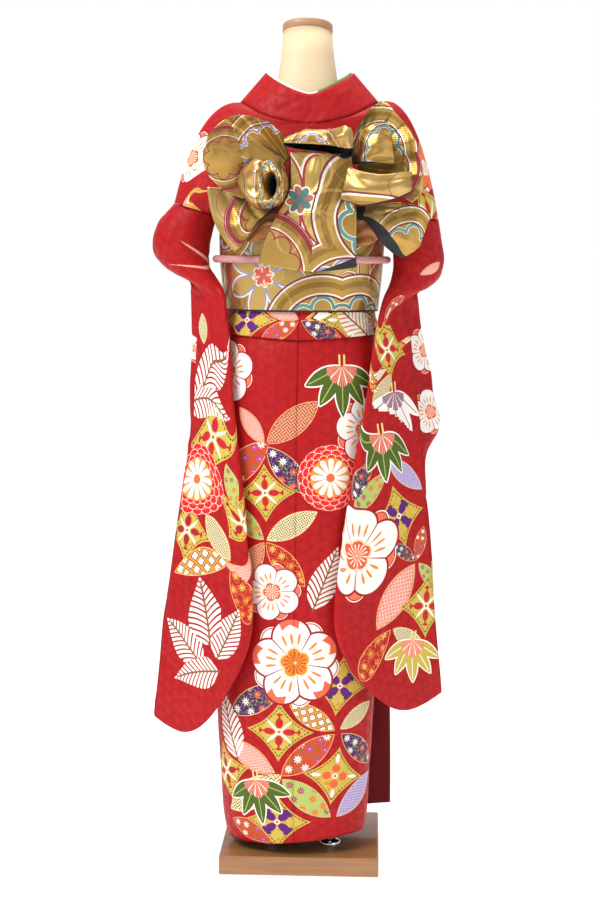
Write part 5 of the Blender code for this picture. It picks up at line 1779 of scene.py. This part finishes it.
# Sizes of the patterns, in mm. Half the round of the cord has one side of the braid's herringbone. Weft ribs are
# 0.5 mm apart on the real brocade, and 3 mm here so that they show.
STRAND = 6.0
BRAID_ROUND = 20.4
RIB = 3.0
PLANK = 36.0


def make_braid(sizes):
    """Silk braid: strands cross in a herringbone, pale ones among the pink."""
    start_material("pink braided silk")
    across, along = cloth_place()
    side = abs(fold(across, BRAID_ROUND))
    strand = node("Math.SINE", (along - side) * (2 * pi / STRAND))
    # Painted shade in the hollows between the strands, and painted light on their crests.
    shade = node("MapRange", strand, -1.0, 1.0, 0.0, 1.0)
    pale = near(side, BRAID_ROUND / 4, 1.1) & (strand > 0.2)
    colour = over(sizes.cord_shade[:], shade, sizes.cord_lit[:], pale, "#F7DCD2")
    finish_material(colour, 0.55, shade, 0.7, Specular_IOR_Level=0.3)


def make_beech():
    """Laminated beech: glued planks with fine straight grain along X, under clear lacquer that shines softly."""
    start_material("laminated beech")
    place = node("SeparateXYZ", node("TexCoord").out("Object"))
    x, y, z = (place.out(axis) for axis in "XYZ")
    plank = node("Math.FLOOR", y / (PLANK * MM))
    stretched = node("CombineXYZ", x * 9.0, y * 160.0, z * 160.0 + plank * 7.0)
    grain = noise(stretched, 1.0, 4.0)
    tone = node("TexWhiteNoise", node("CombineXYZ", plank, 0.0, 0.0))
    joint = abs(fold(y, PLANK * MM)) > 0.0176
    colour = over("#855530", grain, "#B5814F", tone * 0.35, "#A06C40", joint, "#7C5230")
    finish_material(colour, 0.32, grain, 0.03, Coat_Weight=0.5, Coat_Roughness=0.12)


def arch_figures(colour):
    """Great woven arcs: a gold band between fine lines, and clouds of scallops inside; with its thread mask."""
    _, _, kind, radius, angle = polar_place("arch")
    cloud = flower(radius, angle, 8, 0.46, 0.19)
    inner = near(cloud, 0.0, 0.028 - kind * 0.007) & (radius > 0.48)
    ring = near(radius, 0.68, 0.016) | near(radius, 1.03, 0.014)
    broad = near(radius, 0.96, 0.05) & near(kind, 2.0, 0.4)
    colour = over(
        colour,
        radius < 1.0, "#B8914C",
        near(radius, 0.87, 0.045), "#9A7638",
        near(radius, 1.0, 0.016) | near(radius, 0.71, 0.014), "#F6EBD6",
        near(cloud, 0.0, 0.042) & (radius > 0.47) & (kind < 1.5), "#F6EBD6",
        inner, palette(kind, ("#5E8C8A", "#8E8AB5", "#8C1C2B")),
        ring, palette(kind, ("#6E1A2B", "#7A1826", "#8C1C2B")),
        broad, "#8C1C2B",
    )
    return colour, inner | ring | broad


def blossom_figures(colour):
    """Woven blossoms: long outlined petals round a small solid flower; with its thread mask."""
    _, _, kind, radius, angle = polar_place("blossom")
    turn = abs(fold(angle, 2 * pi / 7)) * radius
    petal = turn - radius * ((1.0 - radius) | 0.0) ** 0.5 * 0.62
    band = (radius < 1.0) & (radius > 0.25)
    lines = (petal < 0.0) & (petal > -0.055) & band
    disc = radius - 0.2 - abs(node("Math.COSINE", angle * 4.0)) * 0.08
    bars = oval(radius, fold(angle, pi / 2) * radius, 0.17, 0.09, 0.03) & (disc < -0.03)
    colour = over(
        colour,
        (petal < 0.0) & (radius < 1.0), "#CDA960",
        lines, palette(kind, ("#8E8AB5", "#9A2130", "#5E8C8A")),
        near(petal, 0.005, 0.02) & band, "#F6EBD6",
        disc < 0.0, "#F6EBD6",
        disc < -0.03, palette(kind, ("#C8553F", "#4E7370", "#4E7370")),
        bars, palette(kind, ("#E9B7A0", "#C8553F", "#D98A5A")),
    )
    return colour, lines | (disc < 0.0)


def make_brocade(sizes):
    """Gold brocade, woven with flat metal thread: bright satin with weft ribs, and figures in dyed silk."""
    start_material("gold brocade")
    across, along = cloth_place()
    place = node("CombineXYZ", across, along, 0.0)
    # Painted highlights and shade: the metal thread is painted lighter and darker in soft random patches.
    painted_light_patch = node("MapRange", noise(place, 0.03, 2.0), 0.3, 0.7, 0.0, 1.0)
    veins = near(noise(place, 0.011, 0.0), 0.5, 0.0035)
    colour = over(sizes.gold_shade[:], painted_light_patch, sizes.gold_lit[:], veins, "#7A2430")
    colour, blossoms = blossom_figures(colour)
    colour, arches = arch_figures(colour)
    turned = node("Attribute", attribute_name="turned").out("Fac") > 0.5
    colour = over(colour, turned, "#17191B")
    dyed = veins | arches | blossoms | turned
    rib = node("Math.SINE", along * (2 * pi / RIB))
    metal = node("MapRange", dyed, 0.0, 1.0, 0.8, 0.0)
    rough = node("MapRange", dyed, 0.0, 1.0, 0.34, 0.6)
    finish_material(colour, rough, rib, 0.05, Metallic=metal)


def make_trim():
    """Green silk band, with the white lining rolled over its left part."""
    start_material("green silk trim")
    place = node("SeparateXYZ", node("TexCoord").out("Object"))
    colour = over("#F6F1EA", place > TRIM_GREEN_FROM * MM, "#4F8F34")
    finish_material(colour, 0.5, Specular_IOR_Level=0.3)


# Plain finishes: name, colour, roughness, grain and bump in mm, and other sockets
PLAIN_FINISHES = (
    # Silk linings are plain woven: dull, with the finest grain
    ("dark red silk lining", "#6E0810", 0.6, 3.0, 0.05, {"Specular_IOR_Level": 0.2}),
    ("white silk lining", "#F6F1EA", 0.6, 2.0, 0.04, {}),
    # The reverse of brocade shows its loose black wefts: matt and a little rough
    ("black brocade reverse", "#15171A", 0.6, 3.0, 0.1, {}),
    # Satin with some metal thread: a broad warm sheen
    ("bronze satin", "#B0713A", 0.42, 1.2, 0.05, {"Metallic": 0.35}),
    # Stretched jersey on foam: even and soft
    ("cream form cover", "#F0D6AC", 0.5, 1.5, 0.02, {}),
    # Oiled turned wood: low sheen, wide faint grain
    ("turned neck cap", "#B98A66", 0.42, 20.0, 0.02, {}),
    # Polished chrome: sharp reflections
    ("chromed steel", "#F0F0F0", 0.1, 4.0, 0.0, {"Metallic": 1.0}),
    # Studio sweep, lit until it is nearly white
    ("white floor", "#F4F4F4", 0.4, 50.0, 0.0, {"Emission_Color": (1, 1, 1, 1), "Emission_Strength": 0.62}),
)


def smooth_node(name, finish):
    """Put a smooth copy in place of a packed hard node: its points merged, its rounded faces shaded as one."""
    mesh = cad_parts[name].data.copy()
    mesh.materials.clear()
    mesh.materials.append(finishes[finish])
    item = place_item(name + "_smooth", mesh)
    bpy.ops.object.mode_set(mode="EDIT")
    bpy.ops.mesh.select_all(action="SELECT")
    bpy.ops.mesh.remove_doubles(threshold=1e-5)
    bpy.ops.object.mode_set(mode="OBJECT")
    bpy.ops.object.shade_smooth_by_angle(angle=radians(SMOOTH_NODE))
    stand_for(item, name)


def colour_field(name, code, what):
    """Colour that a user can change."""
    return bpy.props.FloatVectorProperty(
        name=name, description=what, subtype="COLOR", size=4, min=0, max=1, default=paint(code))


def length_field(name, mm, what):
    """Length that a user can change, in metres."""
    return bpy.props.FloatProperty(
        name=name, description=what, subtype="DISTANCE", unit="LENGTH", default=mm * MM)


class FURISODE_sizes(bpy.types.PropertyGroup):
    """Sizes and colours of the furisode."""

    silk_lit: colour_field("Silk, lit", "#BE1217", "Red of the silk where its damask shines")
    silk_shade: colour_field("Silk, shade", "#980B0F", "Red of the silk where its damask is dull")
    gold_lit: colour_field("Gold, lit", "#D2B070", "Bright patches of the brocade's metal thread")
    gold_shade: colour_field("Gold, shade", "#AC8440", "Dull patches of the brocade's metal thread")
    cord_lit: colour_field("Cord, lit", "#F6C6BE", "Raised strands of the braid")
    cord_shade: colour_field("Cord, shade", "#BC5A62", "Hollows between the strands of the braid")
    facet: length_field("Damask facet", 20, "Width of the damask's facets")
    skirt_crease: length_field("Skirt crease", 2.2, "Depth of the skirt's long creases")
    sleeve_crease: length_field("Sleeve crease", 3.8, "Depth of the sleeves' long creases")
    bow_crease: length_field("Bow crease", 3.2, "Depth of the creases in the bow's folds")
    silk_wall: length_field("Silk wall", 1.4, "Thickness of a silk layer with its lining")
    board_rounding: length_field("Board rounding", 2.5, "Rounding of the base board's edges")


class FURISODE_OT_finishes(bpy.types.Operator):
    """Make the materials of the silk, brocade, braid, form and stand."""

    bl_idname = "furisode.finishes"
    bl_label = "Finishes"

    def execute(self, context):
        for make in (make_silk, make_brocade, make_braid):
            make(context.scene.furisode)
        make_trim()
        make_beech()
        for *plain, more in PLAIN_FINISHES:
            make_plain(*plain, **more)
        return {"FINISHED"}


def rounded_box(low, high, rounding, cuts=0):
    """Add a box between two corners with rounded edges, and cut its faces for later shaping."""
    bpy.ops.object.select_all(action="DESELECT")
    bpy.ops.mesh.primitive_cube_add(size=1.0, location=(low + high) / 2, scale=high - low)
    bpy.ops.object.transform_apply(location=True, rotation=True, scale=True)
    bpy.ops.object.mode_set(mode="EDIT")
    bpy.ops.mesh.select_all(action="SELECT")
    bpy.ops.mesh.bevel(offset=rounding, segments=ROUNDING_STEPS)
    if cuts:
        bpy.ops.mesh.subdivide(number_cuts=cuts)
    bpy.ops.object.mode_set(mode="OBJECT")
    return bpy.context.object


def finish_hard(item, name, node_name, finish):
    """Finish a rounded box as a smooth piece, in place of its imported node."""
    item.name = name
    bpy.ops.object.shade_smooth_by_angle(angle=radians(SMOOTH_BOX))
    item.data.materials.append(finishes[finish])
    stand_for(item, node_name)


class FURISODE_OT_stand(bpy.types.Operator):
    """Make the base board, and finish the poles and their flanges."""

    bl_idname = "furisode.stand"
    bl_label = "Stand"

    def execute(self, context):
        low, high = (Vector(corner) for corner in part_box("base_board"))
        board = rounded_box(low, high, context.scene.furisode.board_rounding)
        finish_hard(board, "base_board_beech", "base_board", "laminated beech")
        for side in ("left", "right"):
            smooth_node("pole_" + side, "chromed steel")
            smooth_node("pole_flange_" + side, "chromed steel")
        return {"FINISHED"}


class FURISODE_OT_form(bpy.types.Operator):
    """Finish the torso form and its neck cap."""

    bl_idname = "furisode.form"
    bl_label = "Form"

    def execute(self, context):
        smooth_node("torso_form", "cream form cover")
        smooth_node("neck_cap", "turned neck cap")
        return {"FINISHED"}


class FURISODE_OT_skirt(bpy.types.Operator):
    """Make the six skirt panels and the waist fold."""

    bl_idname = "furisode.skirt"
    bl_label = "Skirt"

    def execute(self, context):
        sizes = context.scene.furisode
        meshes = skirt_meshes()
        for index, (name, mesh) in enumerate(meshes.items()):
            depth = sizes.skirt_crease / MM * (1.0 if "back" in name else FRONT_CREASE_SHARE)
            ripple(mesh, SKIRT_RIPPLE)
            crumple(mesh, SKIRT_LONG_CREASES, index, depth)
            crumple(mesh, SKIRT_SHORT_CREASES, index, depth)
        dye(list(meshes.values()), SKIRT_MOTIFS, (SKIRT_MIRROR, -SKIRT_MIRROR))
        finish_pieces(meshes, "red figured silk", "dark red silk lining", sizes.silk_wall / MM)
        folds = {}
        for side, sign in (("left", -1), ("right", 1)):
            name = "waist_fold_" + side
            grid = dip_seams(dense(waist_fold_rows(0.0, sign * 180), WAIST_STEP))
            folds[name] = sheet_mesh(name, grid, run_of(grid, 1) * sign, behind=WAIST_INSIDE)
            ripple(folds[name], WAIST_RIPPLE)
            crumple(folds[name], WAIST_CREASES, sign)
        dye(list(folds.values()), WAIST_MOTIFS, (WAIST_MIRROR, -WAIST_MIRROR))
        finish_pieces(folds, "red figured silk", "red figured silk", WAIST_WALL)
        return {"FINISHED"}


class FURISODE_OT_upper_body(bpy.types.Operator):
    """Make the upper body panels, the collar and the trim inside it."""

    bl_idname = "furisode.upper_body"
    bl_label = "Upper body and collar"

    def execute(self, context):
        sizes = context.scene.furisode
        panels = {}
        for side, sign, arm in (("left", -1, LEFT_ARM[0]), ("right", 1, RIGHT_ARM[0])):
            name = "body_upper_" + side
            grid = dense(upper_body_rows(sign, arm), BODY_STEP)
            panels[name] = sheet_mesh(name, grid, run_of(grid, 1) * sign, behind=BODY_INSIDE)
            crumple(panels[name], BODY_CREASES, sign, lean=sign)
        dye(list(panels.values()), BODY_MOTIFS)
        finish_pieces(panels, "red figured silk", "dark red silk lining", sizes.silk_wall / MM)
        grid = dense(collar_rows(0.0, 1.0, 0.0), COLLAR_STEP, column_count=COLLAR_COLUMNS)
        mesh = sheet_mesh("collar", grid, behind=COLLAR_INSIDE)
        crumple(mesh, COLLAR_CREASES)
        crease(mesh, COLLAR_LINES)
        stamp([mesh], {})
        finish_cloth("collar", mesh, "red figured silk", "white silk lining", COLLAR_THICK, rim=0)
        rows = collar_rows(TRIM_LOW, TRIM_HIGH, COLLAR_THICK + TRIM_GAP, TRIM_ENDS)
        mesh = sheet_mesh("collar_trim_band", dense(rows, TRIM_STEP), behind=TRIM_INSIDE)
        finish_cloth("collar_trim_band", mesh, "green silk trim", "green silk trim", TRIM_WALL)
        return {"FINISHED"}


class FURISODE_OT_sleeves(bpy.types.Operator):
    """Make the two long sleeves."""

    bl_idname = "furisode.sleeves"
    bl_label = "Sleeves"

    def execute(self, context):
        sizes = context.scene.furisode
        sleeves = (
            ("sleeve_left", LEFT_ARM, LEFT_BAG, LEFT_SLEEVE_MOTIFS),
            ("sleeve_right", RIGHT_ARM, RIGHT_BAG, RIGHT_SLEEVE_MOTIFS),
        )
        for index, (name, arm, bag, motifs) in enumerate(sleeves):
            mesh = sleeve_mesh(name, arm, bag)
            ripple(mesh, SLEEVE_RIPPLE)
            crumple(mesh, SLEEVE_LONG_CREASES, index, sizes.sleeve_crease / MM)
            crumple(mesh, SLEEVE_SHORT_CREASES, index, sizes.sleeve_crease / MM)
            dye([mesh], motifs, (0.0,))
            finish_cloth(name, mesh, "red figured silk", "red figured silk", sizes.silk_wall / MM)
        return {"FINISHED"}


def finish_cord(node_name, mesh):
    item = place_item(node_name + "_braid", mesh)
    mesh.materials.append(finishes["pink braided silk"])
    stand_for(item, node_name)


class FURISODE_OT_obi(bpy.types.Operator):
    """Make the obi band and the cord round it."""

    bl_idname = "furisode.obi"
    bl_label = "Obi and cord"

    def execute(self, context):
        rows = [[ring_point(row, 360.0 * part - 180) for part in parts(OBI_COLUMNS)] for row in OBI_RINGS]
        grid = dense(rows, OBI_STEP, True)
        mesh = sheet_mesh("obi_band", grid, behind=OBI_INSIDE, weld=True, black="r1")
        weave(mesh, OBI_FIGURES)
        finish_cloth("obi_band", mesh, "gold brocade", "black brocade reverse", OBI_WALL)
        grid = dense(cord_rows(), CORD_STEP, True)
        mesh = sheet_mesh("obijime", grid, behind=(*GARMENT_AXIS, CORD_Z), weld=True)
        finish_cord("obijime", mesh)
        grid = dense(knot_rows(), KNOT_STEP, True)
        low, high = (Vector(corner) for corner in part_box("obijime_knot"))
        middle = (low + high) / 2 / MM
        finish_cord("obijime_knot", sheet_mesh("obijime_knot", grid, behind=tuple(middle), weld=True))
        return {"FINISHED"}


class FURISODE_OT_bow(bpy.types.Operator):
    """Make the tied bow of the obi, fold by fold."""

    bl_idname = "furisode.bow"
    bl_label = "Bow"

    def execute(self, context):
        pieces = {
            "bow_wing_upper_left": fan_rows(LEFT_FAN_ROOT, LEFT_FAN),
            "bow_wing_upper_right": fan_rows(RIGHT_FAN_ROOT, RIGHT_FAN),
            **{name: flap_rows(*flap) for name, flap in BOW_FLAPS.items()},
            "bow_top_loop": top_loop_rows(),
            "bow_rosette_left": rosette_rows(),
        }
        for index, (name, rows) in enumerate(pieces.items()):
            closed = name == "bow_rosette_left"
            pleated = "wing_upper" in name
            grid = dense(rows, BOW_STEP, closed, crisp=pleated)
            across = (grid[..., 0] if pleated or closed else run_of(grid, 1)) + BOW_CLOTH_STEP * index
            along = grid[..., 2] if pleated or closed else None
            behind = BOW_HOLLOWS.get(name, BEHIND_BOW)
            mesh = sheet_mesh(name, grid, across, behind, closed, along=along, black=BLACK_EDGES.get(name, ""))
            depth = context.scene.furisode.bow_crease / MM * (PLEAT_CREASE_SHARE if pleated else 1.0)
            crumple(mesh, BOW_CREASES, index, depth)
            weave(mesh, BOW_FIGURES.get(name, {}), name not in BOW_FIGURES)
            front = "bronze satin" if "tuck" in name else "gold brocade"
            finish_cloth(name, mesh, front, "black brocade reverse", BOW_WALL)
        low, high = (Vector(corner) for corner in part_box("bow_knot"))
        low.y += KNOT_SINK * MM
        knot = rounded_box(low, high, KNOT_ROUNDING * MM, KNOT_CUTS)
        # The flat places of its face corners, as seen from the back, guide its creases
        places = [knot.data.vertices[loop.vertex_index].co.xz for loop in knot.data.loops]
        knot.data.uv_layers[0].uv.foreach_set("vector", np.array(places, np.float32).ravel())
        crumple(knot.data, KNOT_CREASES)
        finish_hard(knot, "bow_knot_reverse", "bow_knot", "black brocade reverse")
        return {"FINISHED"}


class FURISODE_OT_stage(bpy.types.Operator):
    """Set the floor, the lights and the camera."""

    bl_idname = "furisode.stage"
    bl_label = "Stage"

    def execute(self, context):
        bpy.ops.mesh.primitive_plane_add(size=FLOOR_SIZE, location=FLOOR_PLACE)
        floor = context.object
        floor.name = "floor"
        floor.data.materials.append(finishes["white floor"])
        camera_data = bpy.data.cameras.new("camera")
        camera_data.sensor_fit = "VERTICAL"
        camera_data.sensor_height = SENSOR_MM
        camera_data.lens = SENSOR_MM * FOCAL_PIXELS / IMAGE_HEIGHT
        camera_data.clip_end = 50.0
        camera = place_item("camera", camera_data)
        turn = Matrix((EYE_RIGHT, EYE_UP, -EYE_FORWARD)).transposed().to_4x4()
        camera.matrix_world = Matrix.Translation(EYE) @ turn
        context.scene.camera = camera
        world = bpy.data.worlds.new("studio")
        world.use_nodes = True
        start_nodes(world.node_tree)
        # White behind the scene, and half as bright in its light
        strength = node("MapRange", node("LightPath"), 0.0, 1.0, 0.5, 1.0)
        node("OutputWorld", node("Background", (1.0, 1.0, 1.0, 1.0), strength))
        context.scene.world = world
        context.scene.view_settings.view_transform = "Standard"
        for name, place, size, power in LIGHTS:
            light_data = bpy.data.lights.new(name, "AREA")
            light_data.size = size
            light_data.energy = power
            light = place_item(name, light_data)
            light.location = place
            light.rotation_euler = (Vector(LIT_PLACE) - light.location).to_track_quat("-Z", "Y").to_euler()
        return {"FINISHED"}


class FURISODE_PT_panel(bpy.types.Panel):
    """Buttons for each step of the furisode."""

    bl_label = "Furisode"
    bl_idname = "FURISODE_PT_panel"
    bl_space_type = "VIEW_3D"
    bl_region_type = "UI"
    bl_category = "Furisode"

    def draw(self, context):
        for field in FURISODE_sizes.__annotations__:
            self.layout.prop(context.scene.furisode, field)
        for step in STEPS:
            self.layout.operator(step.bl_idname)


STEPS = (
    FURISODE_OT_finishes,
    FURISODE_OT_stage,
    FURISODE_OT_stand,
    FURISODE_OT_form,
    FURISODE_OT_skirt,
    FURISODE_OT_upper_body,
    FURISODE_OT_sleeves,
    FURISODE_OT_obi,
    FURISODE_OT_bow,
)


def register():
    """Add the classes to Blender."""
    for kind in (FURISODE_sizes, *STEPS, FURISODE_PT_panel):
        bpy.utils.register_class(kind)
    bpy.types.Scene.furisode = bpy.props.PointerProperty(type=FURISODE_sizes)


def unregister():
    """Take the classes out again."""
    del bpy.types.Scene.furisode
    for kind in reversed((FURISODE_sizes, *STEPS, FURISODE_PT_panel)):
        bpy.utils.unregister_class(kind)


def main():
    """Run every step in order."""
    register()
    for step in STEPS:
        _, _, name = step.bl_idname.partition(".")
        getattr(bpy.ops.furisode, name)()


if __name__ == "__main__":
    main()
